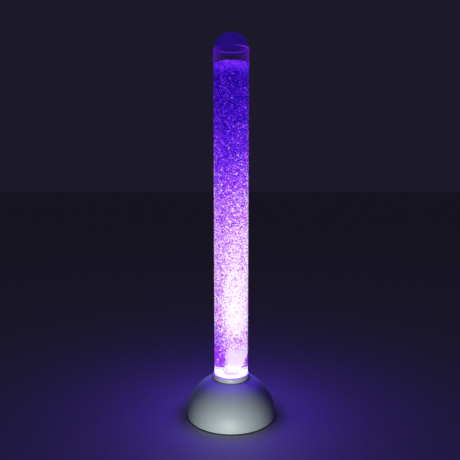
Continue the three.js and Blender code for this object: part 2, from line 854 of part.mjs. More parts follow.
// The hollow that the swarm takes up in the water, open at the stone
function swarmHollow() {
  const { body, cap } = swarmStations(1);
  const grown = [...body, ...cap].map(({ x, z, r }) => ({ x, z, r: r + slip }));
  const mouth = { ...grown[0], z: swarmFoot - overrun };
  const crown = { ...grown.at(-1), z: swarmTop + slip };
  return toSolid(lofted([mouth, ...grown, crown].map((station) => swarmRing(station, () => 0))));
}

// Water round the stone and the swarm, with its surface heaped up in the middle
function waterColumn() {
  const radius = tubeBore - slip;
  const wellRadius = stoneDiameter / 2 + slip;
  const ringShares = [3 / 4, 1 / 2, 1 / 4];
  const surface = ringShares.map((share) => [
    radius * share,
    waterEdge + surfaceCrown * (1 + Math.cos(Math.PI * share)) / 2,
  ]);
  const column = toSolid(turned([
    [0, swarmFoot],
    [wellRadius, swarmFoot],
    [wellRadius, waterFoot],
    [radius, waterFoot],
    [radius, waterEdge],
    ...surface,
    [0, waterEdge + surfaceCrown],
  ], capSides));
  return column.subtract(swarmHollow());
}

// Dome cap: flange on the rim, skirt in the tube, vent notch at the rear
function topCap() {
  const flangeTop = capFoot + capFlangeThickness;
  const domeRadius = tubeRadius - capDomeInset;
  const plugFit = tubeBore - slip;
  const skirtFoot = capFoot - capSkirtDepth;
  const outer = arch(domeRadius, capDomeHeight, flangeTop, 0, capSteps);
  const inner = arch(domeRadius - capWall, capDomeHeight - capWall, flangeTop, 0, capSteps).reverse();
  const body = toSolid(turned([
    ...inner,
    [plugFit - capSkirtWall, capFoot],
    [plugFit - capSkirtWall, skirtFoot],
    [plugFit, skirtFoot],
    [plugFit, capFoot],
    [tubeRadius - capFlangeInset, capFoot],
    [tubeRadius - capFlangeInset, flangeTop],
    ...outer,
  ], capSides));
  const ventX = about(0, capVentWidth);
  const notches = [
    block(ventX, [plugFit - capVentDepth, tubeRadius], [skirtFoot - overrun, capFoot]),
    block(ventX, [plugFit - capVentDepth, tubeRadius + overrun], [capFoot - slip, capFoot + capVentDepth]),
  ];
  return without(body, notches.map(toSolid));
}

// Round light board with holes for the plug's stem and the stakes
function ledBoard() {
  const disc = toSolid(rod(ledBoardRadius, ledBoardBottom, ledBoardTop, capSides));
  const hole = (place, r) => upright(place, r, ledBoardBottom - overrun, ledBoardTop + overrun);
  return without(disc, [
    hole({ x: 0, y: 0 }, stemDiameter / 2 + 2 * slip),
    ...stakePlaces.map((place) => hole(place, stakeDiameter / 2 + slip)),
  ]);
}

// One lamp: square package with a domed lens
function led({ x, y, angle }) {
  const lensSteps = 3;
  const foot = toSolid(block(about(0, ledWidth), about(0, ledWidth), [ledFoot, ledFoot + ledHeight]));
  const lens = toSolid(turned([
    [0, ledFoot + ledHeight / 2],
    [ledLensDiameter / 2, ledFoot + ledHeight / 2],
    ...arch(ledLensDiameter / 2, ledLensHeight, ledFoot + ledHeight, 0, lensSteps),
  ], smallSides));
  return toSolid(toGeometry(foot.add(lens)).rotateZ(angle).translate(x, y, 0));
}

// Upright control board in its guides
function controlBoard() {
  const foot = coverTop + guideFloor + slip;
  return toSolid(block(about(0, boardWidth), [boardFront, boardRear], [foot, foot + boardHeight]));
}

// Tact switch case with a well for its plunger
function switchCase(x) {
  const body = toSolid(block(about(x, switchWidth), [switchFoot, switchTop], about(panelMid, switchWidth)));
  const wellFloor = plungerTop - plungerLength - buttonTravel - slip;
  const well = rod(plungerDiameter / 2 + slip, wellFloor, switchTop + overrun, smallSides, 'y');
  return body.subtract(toSolid(well.translate(x, 0, panelMid)));
}

function switchPlunger(x) {
  const radius = plungerDiameter / 2;
  const foot = plungerTop - plungerLength;
  return toSolid(turned([
    [0, foot],
    [radius, foot],
    [radius, plungerTop - radius / 3],
    [radius * 2 / 3, plungerTop],
    [0, plungerTop],
  ], smallSides, 'y').translate(x, 0, panelMid));
}

// Round push button: stem, flange behind the panel and a rounded face
function pushButton(x) {
  const radius = buttonDiameter / 2;
  const stem = buttonStemDiameter / 2;
  const face = panelPlane + buttonProud;
  return toSolid(turned([
    [0, plungerTop + slip],
    [stem, plungerTop + slip],
    [stem, buttonFlangeFoot],
    [radius + buttonFlange, buttonFlangeFoot],
    [radius + buttonFlange, buttonFlangeTop],
    [radius, buttonFlangeTop],
    [radius, face - buttonEdgeRadius],
    [radius - buttonEdgeRadius / 3, face - buttonEdgeRadius / 3],
    [radius - buttonEdgeRadius, face],
    [0, face],
  ], shaftSides, 'y').translate(x, 0, panelMid));
}

// Controller chip on the board's inner face, with a row of legs on each long side
function controlChip() {
  const back = boardFront - slip;
  const bodyX = about(chipX, chipLength);
  const body = block(bodyX, [back - chipHeight, back], about(panelMid, chipWidth));
  const legSpan = about(panelMid, chipWidth + 2 * chipLegReach);
  const legs = Array.from({ length: chipLegCount }, (_, i) => {
    const x = chipX + chipLegPitch * (i - (chipLegCount - 1) / 2);
    return toSolid(block(about(x, chipLegWidth), [back - chipHeight / 2, back], legSpan));
  });
  return joined([toSolid(body), ...legs]);
}

// Smoothing capacitor: a can with a rolled groove near its foot
function filterCapacitor() {
  const radius = capacitorDiameter / 2;
  const back = boardFront - slip;
  const front = back - capacitorLength;
  return toSolid(turned([
    [0, front],
    [radius - capacitorDent, front],
    [radius, front + capacitorDent],
    [radius, back - 4 * capacitorDent],
    [radius - capacitorDent, back - 3 * capacitorDent],
    [radius, back - 2 * capacitorDent],
    [radius, back],
    [0, back],
  ], shaftSides, 'y').translate(capacitorX, 0, panelMid));
}

// Low-voltage inlet: body behind the panel, barrel through it, socket with a centre pin
function dcJack() {
  const barrel = jackBarrelDiameter / 2;
  const socket = jackSocketDiameter / 2;
  const pin = jackPinDiameter / 2;
  const mouth = panelPlane + jackProud;
  const socketFloorY = mouth - jackSocketDepth;
  const bodyY = [switchFoot, panelInner - slip];
  const body = toSolid(block(about(0, jackBodyWidth), bodyY, about(0, jackBodyHeight)));
  const sleeve = toSolid(rod(barrel, switchFoot + slip, mouth, shaftSides, 'y'));
  const well = toSolid(turned([
    [pin, socketFloorY],
    [socket, socketFloorY],
    [socket, mouth + overrun],
    [0, mouth + overrun],
    [0, mouth - pin],
    [pin, mouth - 2 * pin],
  ].reverse(), shaftSides, 'y'));
  return toSolid(toGeometry(body.add(sleeve).subtract(well)).translate(jackX, 0, panelMid));
}

function jackNut() {
  const flat = new THREE.Shape(polygon(nutAcrossFlats / Math.sqrt(3), 6));
  flat.holes.push(new THREE.Path(polygon(jackBarrelDiameter / 2 + slip, shaftSides)));
  const nut = slab(flat, -nutThickness, 0).rotateX(Math.PI / 2);
  return toSolid(nut.translate(jackX, panelPlane + slip, panelMid));
}

// A rounded block of the pump's plan, inset from the case's outside
function pumpPlan(inset, bottom, top) {
  const shape = roundedRectangle(pumpLength - 2 * inset, pumpWidth - 2 * inset, pumpCorner - inset);
  return toSolid(slab(shape, bottom, top).translate(pumpMiddle, 0, 0));
}

const corePostsY = [-1, 1].map((side) => magnetOffset + side * (coreWidth - coreOuterLeg) / 2);

// Posts and ribs that clamp the core's outer legs between case and lid
const corePosts = (bottom, top, length) =>
  corePostsY.map((y) =>
    toSolid(block([coreBack, coreBack + length], about(y, coreOuterLeg), [bottom, top])));

const pivotPlace = { x: (armLeft + armRight) / 2, y: -armPivotOffset };
const pinBossRadius = pinDiameter / 2 + slip + pivotBossWall;

// Pump case: open tray with core posts, pin boss, air slots and holes for nozzle and lead
function pumpCase() {
  const tray = pumpPlan(0, pumpBottom, pumpTop).subtract(pumpPlan(pumpWall, pumpFloor, pumpTop + overrun));
  const posts = corePosts(pumpFloor - slip, pumpMid - coreStack / 2 - slip, coreDepth);
  const boss = upright(pivotPlace, pinBossRadius, pumpFloor - slip, pumpFloor + pivotBossHeight, shaftSides);
  const pinHole =
    upright(pivotPlace, pinDiameter / 2 + slip, pumpFloor, pumpFloor + pivotBossHeight + overrun);
  const rightWall = [pumpRight - pumpWall - overrun, pumpRight + overrun];
  const nozzleHole =
    rod(nozzleRootDiameter / 2 + slip, ...rightWall, shaftSides, 'x').translate(0, 0, pumpMid);
  const rearWall = [pumpWidth / 2 - pumpWall - overrun, pumpWidth / 2 + overrun];
  const leadHole = rod(leadDiameter / 2 + leadHoleGap, ...rearWall, smallSides, 'y')
    .translate(coilMiddle, 0, pumpMid + pumpLeadHeight);
  const slotY = [-armPivotOffset, -armPivotOffset + airSlotLength];
  const slots = Array.from({ length: airSlotCount }, (_, i) => {
    const x = armRight + airSlotWidth * (2 * i + 1);
    return block(about(x, airSlotWidth), slotY, [pumpBottom - overrun, pumpFloor + overrun]);
  });
  const cuts = [nozzleHole, leadHole, ...slots].map(toSolid);
  return without(joined([tray, ...posts, boss]), [pinHole, ...cuts]);
}

// Snap lid with a locating rim, a boss for the pin and ribs on the core
function pumpLid() {
  const foot = pumpTop + slip;
  const inset = pumpWall + slip;
  const rim = pumpPlan(inset, foot - lidRimDepth, foot + slip)
    .subtract(pumpPlan(inset + lidRimWall, foot - lidRimDepth - overrun, foot));
  const boss = upright(pivotPlace, pinBossRadius, foot - pivotBossHeight, foot + slip, shaftSides);
  const pinHole = upright(pivotPlace, pinDiameter / 2 + slip, foot - pivotBossHeight - overrun, foot);
  const ribs = corePosts(pumpMid + coreStack / 2 + slip, foot + slip, coreYoke);
  return joined([pumpPlan(0, foot, foot + lidThickness), rim, boss, ...ribs]).subtract(pinHole);
}

// E-shaped stack of laminations, poles towards the magnet
function pumpCore() {
  const stack =
    toSolid(block([coreBack, poleFace], about(magnetOffset, coreWidth), about(pumpMid, coreStack)));
  const windowX = [coreBack + coreYoke, poleFace + overrun];
  const windows = [-1, 1].map((side) => {
    const y = magnetOffset + side * (coreCentreLeg + coreWindow) / 2;
    return toSolid(block(windowX, about(y, coreWindow), about(pumpMid, coreStack + 2 * overrun)));
  });
  return without(stack, windows);
}

const coilBack = coreBack + coreYoke + slip;
const coilFront = poleFace - coilShort;
const coilMiddle = (coilBack + coilFront) / 2;

// Bobbin and winding round the centre leg, as one potted coil
function pumpCoil() {
  const wide = coreCentreLeg + 2 * (coreWindow - slip);
  const tall = coreStack + 2 * (coreWindow - slip);
  const ring = (inset, from, to) => {
    const shape = roundedRectangle(tall - 2 * inset, wide - 2 * inset, bobbinCorner);
    return toSolid(slab(shape, from, to).rotateY(Math.PI / 2).translate(0, magnetOffset, pumpMid));
  };
  const hole = block(
    [coilBack - overrun, coilFront + overrun],
    about(magnetOffset, coreCentreLeg + 2 * slip),
    about(pumpMid, coreStack + 2 * slip),
  );
  return joined([
    ring(0, coilBack, coilBack + bobbinFlange),
    ring(windingInset, coilBack, coilFront),
    ring(0, coilFront - bobbinFlange, coilFront),
  ]).subtract(toSolid(hole));
}

// Arm: a flat strip rolled round the pin at one end, with a hole for the diaphragm's nipple
function pumpArm() {
  const endY = pumpWidth / 2 - pumpWall - armEndGap;
  const tall = about(pumpMid, armHeight);
  const strip = toSolid(block([armLeft, armRight], [pivotPlace.y, endY], tall));
  const eye = upright(pivotPlace, armEyeDiameter / 2, ...tall, shaftSides);
  const bore = upright(pivotPlace, pinDiameter / 2 + slip, ...about(pumpMid, armHeight + 2 * overrun));
  const nippleHole = rod(nippleDiameter / 2 + slip, armLeft - overrun, armRight + overrun, smallSides, 'x');
  return without(strip.add(eye), [bore, toSolid(nippleHole.translate(0, 0, pumpMid))]);
}

function pumpMagnet() {
  const across = about(magnetOffset, magnetWidth);
  return toSolid(block([magnetLeft, magnetRight], across, about(pumpMid, magnetHeight)));
}

function pivotPin() {
  return upright(pivotPlace, pinDiameter / 2, pumpFloor + slip, pumpTop);
}

// Rubber diaphragm: clamped rim, rolled cone and a hub with a nipple through the arm
function pumpDiaphragm() {
  const rim = diaphragmDiameter / 2;
  const hub = diaphragmHubDiameter / 2;
  const nipple = nippleDiameter / 2;
  const head = nippleHeadDiameter / 2;
  const hubFace = diaphragmLeft + diaphragmSkin;
  const nippleEnd = armLeft - slip;
  return toSolid(turned([
    [0, hubFace],
    [hub - diaphragmSkin, hubFace],
    [rim - 2 * diaphragmRim, diaphragmRight - diaphragmRim],
    [rim - 2 * diaphragmRim, diaphragmRight],
    [rim, diaphragmRight],
    [rim, diaphragmRight - diaphragmRim],
    [rim - diaphragmRim, diaphragmRight - diaphragmRim - diaphragmSkin],
    [hub, diaphragmLeft],
    [nipple, diaphragmLeft],
    [nipple, nippleEnd],
    [head, nippleEnd],
    [nipple, nippleEnd - nippleHeadLength],
    [0, nippleEnd - nippleHeadLength],
  ], shaftSides, 'x').translate(0, 0, pumpMid));
}

// Valve box: air chamber behind the diaphragm, inlet port from below and outlet nozzle through the case
function valveBox() {
  const bore = airBoreDiameter / 2;
  const nozzleTip = -hoseBend - slip;
  const tall = [pumpFloor + slip, pumpTop - lidRimDepth];
  const body = toSolid(block([valveBoxLeft, valveBoxRight], about(0, valveBoxWidth), tall));
  const along = (radius, from, to, y, sides) =>
    toSolid(rod(radius, from, to, sides, 'x').translate(0, y, pumpMid));
  const root = along(nozzleRootDiameter / 2, valveBoxRight - slip, pumpRight, 0, shaftSides);
  const nozzle = toSolid(turned([
    [0, pumpRight - slip],
    ...spigotOutline(nozzleTip, pumpRight - slip).reverse(),
    [0, nozzleTip],
  ], shaftSides, 'x').translate(0, 0, pumpMid));
  const chamberFloor = valveBoxLeft + chamberDepth;
  const inletEnd = (chamberFloor + valveBoxRight) / 2;
  const cuts = [
    along(chamberDiameter / 2, valveBoxLeft - overrun, chamberFloor, 0, shaftSides),
    along(bore, chamberFloor - slip, nozzleTip + overrun, 0, smallSides),
    along(bore, chamberFloor - slip, inletEnd, -portOffset, smallSides),
    upright({ x: inletEnd - bore, y: -portOffset }, bore, pumpFloor, pumpMid),
  ];
  return without(joined([body, root, nozzle]), cuts);
}

// Flap valve: one strip of rubber over both ports
function flapValve() {
  const right = valveBoxLeft + chamberDepth - slip;
  const shape = roundedRectangle(flapWidth, portOffset + flapWidth, flapWidth / 3);
  const strip = slab(shape, right - flapThickness, right).rotateY(Math.PI / 2);
  return toSolid(strip.translate(0, -portOffset / 2, pumpMid));
}

// Rubber mount: waisted bush on the cover's post
function pumpCushion({ x, y }) {
  const bore = cushionPostDiameter / 2 + slip;
  const radius = cushionDiameter / 2;
  const foot = coverTop + slip;
  const top = foot + cushionHeight;
  return toSolid(turned([
    [bore, foot],
    [radius, foot],
    [radius - cushionWaist, foot + cushionHeight / 3],
    [radius - cushionWaist, top - cushionHeight / 3],
    [radius, top],
    [bore, top],
  ], smallSides).translate(x, y, 0));
}

const checkValveFoot = pumpMid + hoseBend + slip;
const checkValveBody = checkValveFoot + spigotLength;
const checkValveTop = checkValveBody + valveBodyHeight;

// Non-return valve: ribbed grip body round a small chamber, a spigot at each end
function checkValve() {
  const bore = airBoreDiameter / 2;
  const radius = valveBodyDiameter / 2;
  const chamber = radius - valveWall - valveGripDepth;
  const body = toSolid(turned([
    [bore, checkValveFoot],
    ...spigotOutline(checkValveFoot, checkValveBody),
    [radius, checkValveBody],
    [radius, checkValveTop],
    ...spigotOutline(checkValveTop + spigotLength, checkValveTop).reverse(),
    [bore, checkValveTop + spigotLength],
    [bore, checkValveTop - valveWall],
    [chamber, checkValveTop - valveWall],
    [chamber, checkValveBody + valveWall],
    [bore, checkValveBody + valveWall],
  ], shaftSides));
  const gripWidth = about(0, 2 * valveGripDepth);
  const gripHeight = [checkValveBody + valveWall, checkValveTop - valveWall];
  const grips = ringPlaces(valveGripCount, radius).map(({ x, y, angle }) =>
    toSolid(block(gripWidth, gripWidth, gripHeight).rotateZ(angle).translate(x, y, 0)));
  return without(body, grips);
}

// Lower hose: from the nozzle round a quarter bend up to the check valve
function lowerHose() {
  const bendSteps = 6;
  const bend = Array.from({ length: bendSteps + 1 }, (_, i) => {
    const lean = (Math.PI / 2) * (i / bendSteps);
    return new THREE.Vector3(hoseBend * (Math.sin(lean) - 1), 0, pumpMid + hoseBend * (1 - Math.cos(lean)));
  });
  const start = new THREE.Vector3(pumpRight + slip, 0, pumpMid);
  const end = new THREE.Vector3(0, 0, checkValveBody - slip);
  const run = start.clone().lerp(bend[0], 1 / 2);
  const rise = end.clone().lerp(bend.at(-1), 1 / 2);
  const route = [start, run, ...bend, rise, end];
  return toSolid(pipe(route, hoseRadius, hoseBore / 2, hoseSides, hoseSteps));
}

// Upper hose: straight up from the check valve to the plug's stem
function upperHose() {
  const bottom = checkValveTop + slip;
  const top = stemShoulder - slip;
  const outline = [[hoseBore / 2, bottom], [hoseRadius, bottom], [hoseRadius, top], [hoseBore / 2, top]];
  return toSolid(turned(outline, smallSides));
}

// A lead from one end to the other, through places given as shares of the way along X, Y and Z
function lead(start, end, shares) {
  const between = shares.map(([x, y, z]) => new THREE.Vector3(
    start.x + (end.x - start.x) * x,
    start.y + (end.y - start.y) * y,
    start.z + (end.z - start.z) * z,
  ));
  return toSolid(pipe([start, ...between, end], leadDiameter / 2, 0, leadSides, leadSteps));
}

// Lead from the control board up through the socket to the light board
function ledLead() {
  const start = new THREE.Vector3(ledLeadX, boardFront - slip, panelMid + panelHeight / 3);
  const end = new THREE.Vector3(ledLeadX, ledLeadY, ledBoardBottom - slip);
  const bendShares = [[0, 0.1, 0], [0, 0.3, 0.06], [0, 0.62, 0.25]];
  const riseShares = [[0, 0.88, 0.42], [0, 1, 0.6], [0, 1, 0.8]];
  return lead(start, end, [...bendShares, ...riseShares]);
}

// Lead from the control board through the pump case's side to the coil
function pumpLead() {
  const coilSide = magnetOffset + coreCentreLeg / 2 + coreWindow;
  const start = new THREE.Vector3(lightButtonX, boardFront - slip, panelMid);
  const end = new THREE.Vector3(coilMiddle, coilSide, pumpMid + pumpLeadHeight);
  const crossingShares = [[0, 0.12, 0], [0.2, 0.3, 0.2], [0.7, 0.5, 0.8]];
  const entryShares = [[0.96, 0.66, 1], [1, 0.8, 1], [1, 0.9, 1]];
  return lead(start, end, [...crossingShares, ...entryShares]);
}

// The lamp, piece by piece
const lamp = new THREE.Group();

function add(name, solid, color, roughness, metalness = 0, opacity = 1) {
  const transparent = opacity < 1;
  const material = new THREE.MeshStandardMaterial({ color, roughness, metalness, opacity, transparent });
  const mesh = new THREE.Mesh(toGeometry(solid), material);
  mesh.name = name;
  lamp.add(mesh);
}

const silverGrey = 0xb9c2c0;
const darkRubber = 0x202124;
const blackPlastic = 0x2b2c30;
const steel = 0xc4c6c8;
const clearPlastic = 0xe6e9ff;
const whitePlastic = 0xe9e9e4;
const boardGreen = 0x1f6b46;

add('base_shell', baseShell(), silverGrey, 0.45);
add('base_cover', baseCover(), blackPlastic, 0.6);
footPlaces.forEach((place, i) => add(`foot_${i + 1}`, rubberFoot(place), darkRubber, 0.9));
coverScrewPlaces.forEach((place, i) => {
  add(`cover_screw_${i + 1}`, screw(place, coverTop - slip), steel, 0.35, 0.9);
});

add('tube_collar', tubeCollar(), silverGrey, 0.4);
add('tube_socket', tubeSocket(), whitePlastic, 0.6);
socketScrewPlaces.forEach((place, i) => {
  add(`socket_screw_${i + 1}`, screw(place, socketBottom - slip), steel, 0.35, 0.9);
});
add('clear_tube', clearTube(), clearPlastic, 0.05, 0, 0.3);
add('tube_plug', tubePlug(), clearPlastic, 0.1, 0, 0.5);
add('tube_seal', tubeSeal(), darkRubber, 0.8);
add('air_stone', airStone(), 0xd9dde6, 0.95);
add('bubble_swarm', bubbleSwarm(), 0xd9c8ff, 0.3);
add('water_column', waterColumn(), 0x7a4cff, 0.1, 0, 0.4);
add('top_cap', topCap(), 0x3a18a0, 0.15, 0, 0.5);

add('led_board', ledBoard(), whitePlastic, 0.5);
ledPlaces.forEach((place, i) => add(`led_${i + 1}`, led(place), 0xfff6c8, 0.3));

add('control_board', controlBoard(), boardGreen, 0.5);
add('light_switch_case', switchCase(lightButtonX), blackPlastic, 0.5);
add('light_switch_plunger', switchPlunger(lightButtonX), whitePlastic, 0.5);
add('light_button', pushButton(lightButtonX), silverGrey, 0.4);
add('bubble_switch_case', switchCase(bubbleButtonX), blackPlastic, 0.5);
add('bubble_switch_plunger', switchPlunger(bubbleButtonX), whitePlastic, 0.5);
add('bubble_button', pushButton(bubbleButtonX), silverGrey, 0.4);
add('control_chip', controlChip(), 0x18181a, 0.5);
add('filter_capacitor', filterCapacitor(), 0x24305c, 0.35);
add('dc_jack', dcJack(), blackPlastic, 0.4);
add('jack_nut', jackNut(), steel, 0.3, 0.9);

add('pump_case', pumpCase(), blackPlastic, 0.6);
add('pump_lid', pumpLid(), blackPlastic, 0.6);
add('pump_core', pumpCore(), 0x6d7074, 0.5, 0.8);
add('pump_coil', pumpCoil(), 0x8c4a22, 0.5);
add('pump_arm', pumpArm(), steel, 0.4, 0.9);
add('pump_magnet', pumpMagnet(), 0x3a3a3e, 0.6);
add('pivot_pin', pivotPin(), steel, 0.3, 0.9);
add('pump_diaphragm', pumpDiaphragm(), darkRubber, 0.85);
add('valve_box', valveBox(), whitePlastic, 0.5);
add('flap_valve', flapValve(), darkRubber, 0.85);
cushionPlaces.forEach((place, i) => add(`pump_cushion_${i + 1}`, pumpCushion(place), darkRubber, 0.9));

add('lower_hose', lowerHose(), 0xd6dade, 0.4, 0, 0.7);
add('check_valve', checkValve(), whitePlastic, 0.5);
add('upper_hose', upperHose(), 0xd6dade, 0.4, 0, 0.7);
add('led_lead', ledLead(), blackPlastic, 0.6);
add('pump_lead', pumpLead(), blackPlastic, 0.6);

export default lamp;
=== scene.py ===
import math

import bmesh
import bpy
import numpy as np
from mathutils import Matrix, Vector


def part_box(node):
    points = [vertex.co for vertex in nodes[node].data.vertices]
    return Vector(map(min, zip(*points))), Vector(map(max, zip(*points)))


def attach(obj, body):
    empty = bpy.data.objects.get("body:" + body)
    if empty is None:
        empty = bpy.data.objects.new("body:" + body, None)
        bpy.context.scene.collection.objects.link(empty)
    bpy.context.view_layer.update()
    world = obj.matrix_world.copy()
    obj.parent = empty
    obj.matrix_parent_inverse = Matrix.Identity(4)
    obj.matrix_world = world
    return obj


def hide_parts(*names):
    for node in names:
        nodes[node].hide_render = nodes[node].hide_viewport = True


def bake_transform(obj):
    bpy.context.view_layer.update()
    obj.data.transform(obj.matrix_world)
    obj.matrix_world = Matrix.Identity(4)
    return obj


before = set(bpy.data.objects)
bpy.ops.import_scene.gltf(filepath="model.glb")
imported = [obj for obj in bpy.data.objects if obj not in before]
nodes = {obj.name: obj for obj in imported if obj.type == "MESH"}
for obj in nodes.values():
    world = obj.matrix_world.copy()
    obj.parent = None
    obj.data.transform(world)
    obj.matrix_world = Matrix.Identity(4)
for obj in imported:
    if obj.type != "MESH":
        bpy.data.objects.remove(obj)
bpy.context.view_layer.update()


# View: the lamp is seen from about 1.2 m in front of it and from a little above half its height.
# The camera looks slightly down, so the tube narrows towards its foot.
camera_place = (-0.0027, -1.177, 0.588)
camera_pitch = math.radians(6.84)
camera_lens = 39.96
film_width = 36
nearest_view = 0.01
camera_data = bpy.data.cameras.new("view")
camera_data.lens = camera_lens
camera_data.sensor_width = film_width
camera_data.clip_start = nearest_view
camera = bpy.data.objects.new("view", camera_data)
camera.location = camera_place
camera.rotation_euler = (math.pi / 2 - camera_pitch, 0, 0)
bpy.context.collection.objects.link(camera)
bpy.context.scene.camera = camera
bpy.context.scene.view_settings.view_transform = "Standard"


# Floor and studio light: a plain pale floor in a dim studio. A strip light that lies low in front shines up
# the base, and wide lights fill in from above and behind. The strip and the rear light spare the floor.
floor_reach = 12.0
floor_mesh = bpy.data.meshes.new("floor")
corners = [(-floor_reach, -floor_reach, 0), (floor_reach, -floor_reach, 0), (floor_reach, floor_reach, 0)]
floor_mesh.from_pydata([*corners, (-floor_reach, floor_reach, 0)], [], [(0, 1, 2, 3)])
floor = bpy.data.objects.new("floor", floor_mesh)
bpy.context.collection.objects.link(floor)


class Tone:
    """A socket's value. Sums, differences, products, quotients and powers add Math nodes."""

    def __init__(self, finish, socket):
        self.finish = finish
        self.socket = socket

    def math(self, operation, *values):
        return self.finish.node("ShaderNodeMath", {"operation": operation}, dict(enumerate(values)))

    def __add__(self, other):
        return self.math("ADD", self, other)

    def __radd__(self, other):
        return self.math("ADD", other, self)

    def __sub__(self, other):
        return self.math("SUBTRACT", self, other)

    def __rsub__(self, other):
        return self.math("SUBTRACT", other, self)

    def __mul__(self, other):
        return self.math("MULTIPLY", self, other)

    def __rmul__(self, other):
        return self.math("MULTIPLY", other, self)

    def __truediv__(self, other):
        return self.math("DIVIDE", self, other)

    def __pow__(self, other):
        return self.math("POWER", self, other)

    def within(self, low, high):
        """0 below low, 1 above high, and a soft step between them."""
        limits = {"Value": self, "From Min": low, "From Max": high}
        return self.finish.node("ShaderNodeMapRange", {"interpolation_type": "SMOOTHSTEP"}, limits)


class Finish:
    """One material. Its nodes are added by type, with settings first and then sockets."""

    def __init__(self, name, **sockets):
        self.material = bpy.data.materials.new(name)
        self.material.use_nodes = True
        self.tree = self.material.node_tree
        self.surface = self.tree.nodes["Principled BSDF"]
        self.output = self.tree.nodes["Material Output"]
        self.wear(**sockets)
        self.place = self.node("ShaderNodeTexCoord", output="Object")

    def give(self, node, sockets):
        """Sets a node's sockets to values, or links them to tones."""
        for name, value in sockets.items():
            socket = node.inputs[name]
            if isinstance(value, Tone):
                self.tree.links.new(value.socket, socket)
            elif isinstance(value, tuple) and len(value) == 3 and socket.type == "RGBA":
                socket.default_value = (*value, 1)
            else:
                socket.default_value = value

    def node(self, kind, settings=None, sockets=None, output=0):
        """One node of any type, with its settings and its sockets' values or links."""
        added = self.tree.nodes.new(kind)
        for name, value in (settings or {}).items():
            if name == "stops":
                self.lay_stops(added.color_ramp.elements, value)
            else:
                setattr(added, name, value)
        self.give(added, sockets or {})
        return Tone(self, added.outputs[output])

    def lay_stops(self, elements, stops):
        """Fills a ramp with its stops."""
        while len(elements) < len(stops):
            elements.new(1)
        for element, (position, colour) in zip(elements, stops):
            element.position = position
            element.color = (*colour, 1)

    def wear(self, **sockets):
        """Sets or links sockets of the surface."""
        self.give(self.surface, {name.replace("_", " "): value for name, value in sockets.items()})

    def grain(self, scale, detail=3.0, stretch=(1, 1, 1)):
        """Noise from 0 to 1 with a number of waves per metre."""
        place = self.node("ShaderNodeMapping", sockets={"Vector": self.place, "Scale": stretch})
        return self.node("ShaderNodeTexNoise", sockets={"Vector": place, "Scale": scale, "Detail": detail})

    def mix(self, share, first, second):
        """A colour between two colours."""
        return self.node("ShaderNodeMix", {"data_type": "RGBA"}, {0: share, 6: first, 7: second}, output=2)

    def ramp(self, share, stops):
        """A colour that runs through stops, each a place from 0 to 1 and its colour."""
        return self.node("ShaderNodeValToRGB", {"stops": stops}, {"Fac": share})

    def part_of(self, axis):
        """The place along one axis, in metres."""
        return self.node("ShaderNodeSeparateXYZ", sockets={0: self.place}, output=axis)

    def bump(self, height, depth, strength=1.0):
        """Fine relief of the skin, with its depth in metres."""
        sockets = {"Height": height, "Distance": depth, "Strength": strength}
        self.wear(Normal=self.node("ShaderNodeBump", sockets=sockets))


floor_finish = Finish("pale_floor", Roughness=0.7)
floor_tone = floor_finish.mix(floor_finish.grain(3.0), (0.66, 0.66, 0.68), (0.7, 0.7, 0.72))
floor_finish.wear(Base_Color=floor_tone)
floor_mesh.materials.append(floor_finish.material)

studio_shade = (0.012, 0.010, 0.022, 1)
surroundings = bpy.data.worlds.new("studio")
bpy.context.scene.world = surroundings
surroundings.use_nodes = True
backdrop = surroundings.node_tree.nodes["Background"]
backdrop.inputs["Color"].default_value = studio_shade
backdrop.inputs["Strength"].default_value = 1.0


def light(kind, name, place, aim, power, colour, **settings):
    """A light that shines from one place towards another."""
    data = bpy.data.lights.new(name, kind)
    data.energy = power
    data.color = colour
    for setting, value in settings.items():
        setattr(data, setting, value)
    lamp = bpy.data.objects.new(name, data)
    lamp.location = place
    lamp.rotation_euler = (Vector(aim) - Vector(place)).to_track_quat("-Z", "Y").to_euler()
    bpy.context.collection.objects.link(lamp)
    return lamp


def unseen(lamp):
    """Keeps a light out of the picture, of reflections and of what shows through glass."""
    lamp.visible_camera = False
    lamp.visible_glossy = False
    lamp.visible_transmission = False


def spare_floor(lamp):
    """Keeps a light off the floor, so that it leaves no bright patch beside the lamp."""
    spared = bpy.data.collections.new(f"spared_by_{lamp.name}")
    spared.objects.link(floor)
    spared.collection_objects[0].light_linking.link_state = "EXCLUDE"
    lamp.light_linking.receiver_collection = spared


key_strip = {"shape": "RECTANGLE", "size": 0.16, "size_y": 0.012}
key_place, key_aim = (-0.03, -0.34, 0.0065), (-0.01, 0, 0.03)
key_power, key_colour = 0.5, (0.93, 1.0, 0.965)
key_light = light("AREA", "key_light", key_place, key_aim, key_power, key_colour, **key_strip)
key_light.visible_camera = False
spare_floor(key_light)
top_place, top_aim = (-0.4, -0.7, 2.2), (0, 0, 0.3)
top_power, top_colour = 0.15, (0.9, 0.93, 1.0)
unseen(light("AREA", "top_fill", top_place, top_aim, top_power, top_colour, size=1.6))
rear_place, rear_aim = (-0.25, 1.3, 0.35), (0, 0, 0.05)
rear_power, rear_colour = 6.0, (0.85, 0.88, 1.0)
rear_fill = light("AREA", "rear_fill", rear_place, rear_aim, rear_power, rear_colour, size=0.9)
unseen(rear_fill)
spare_floor(rear_fill)


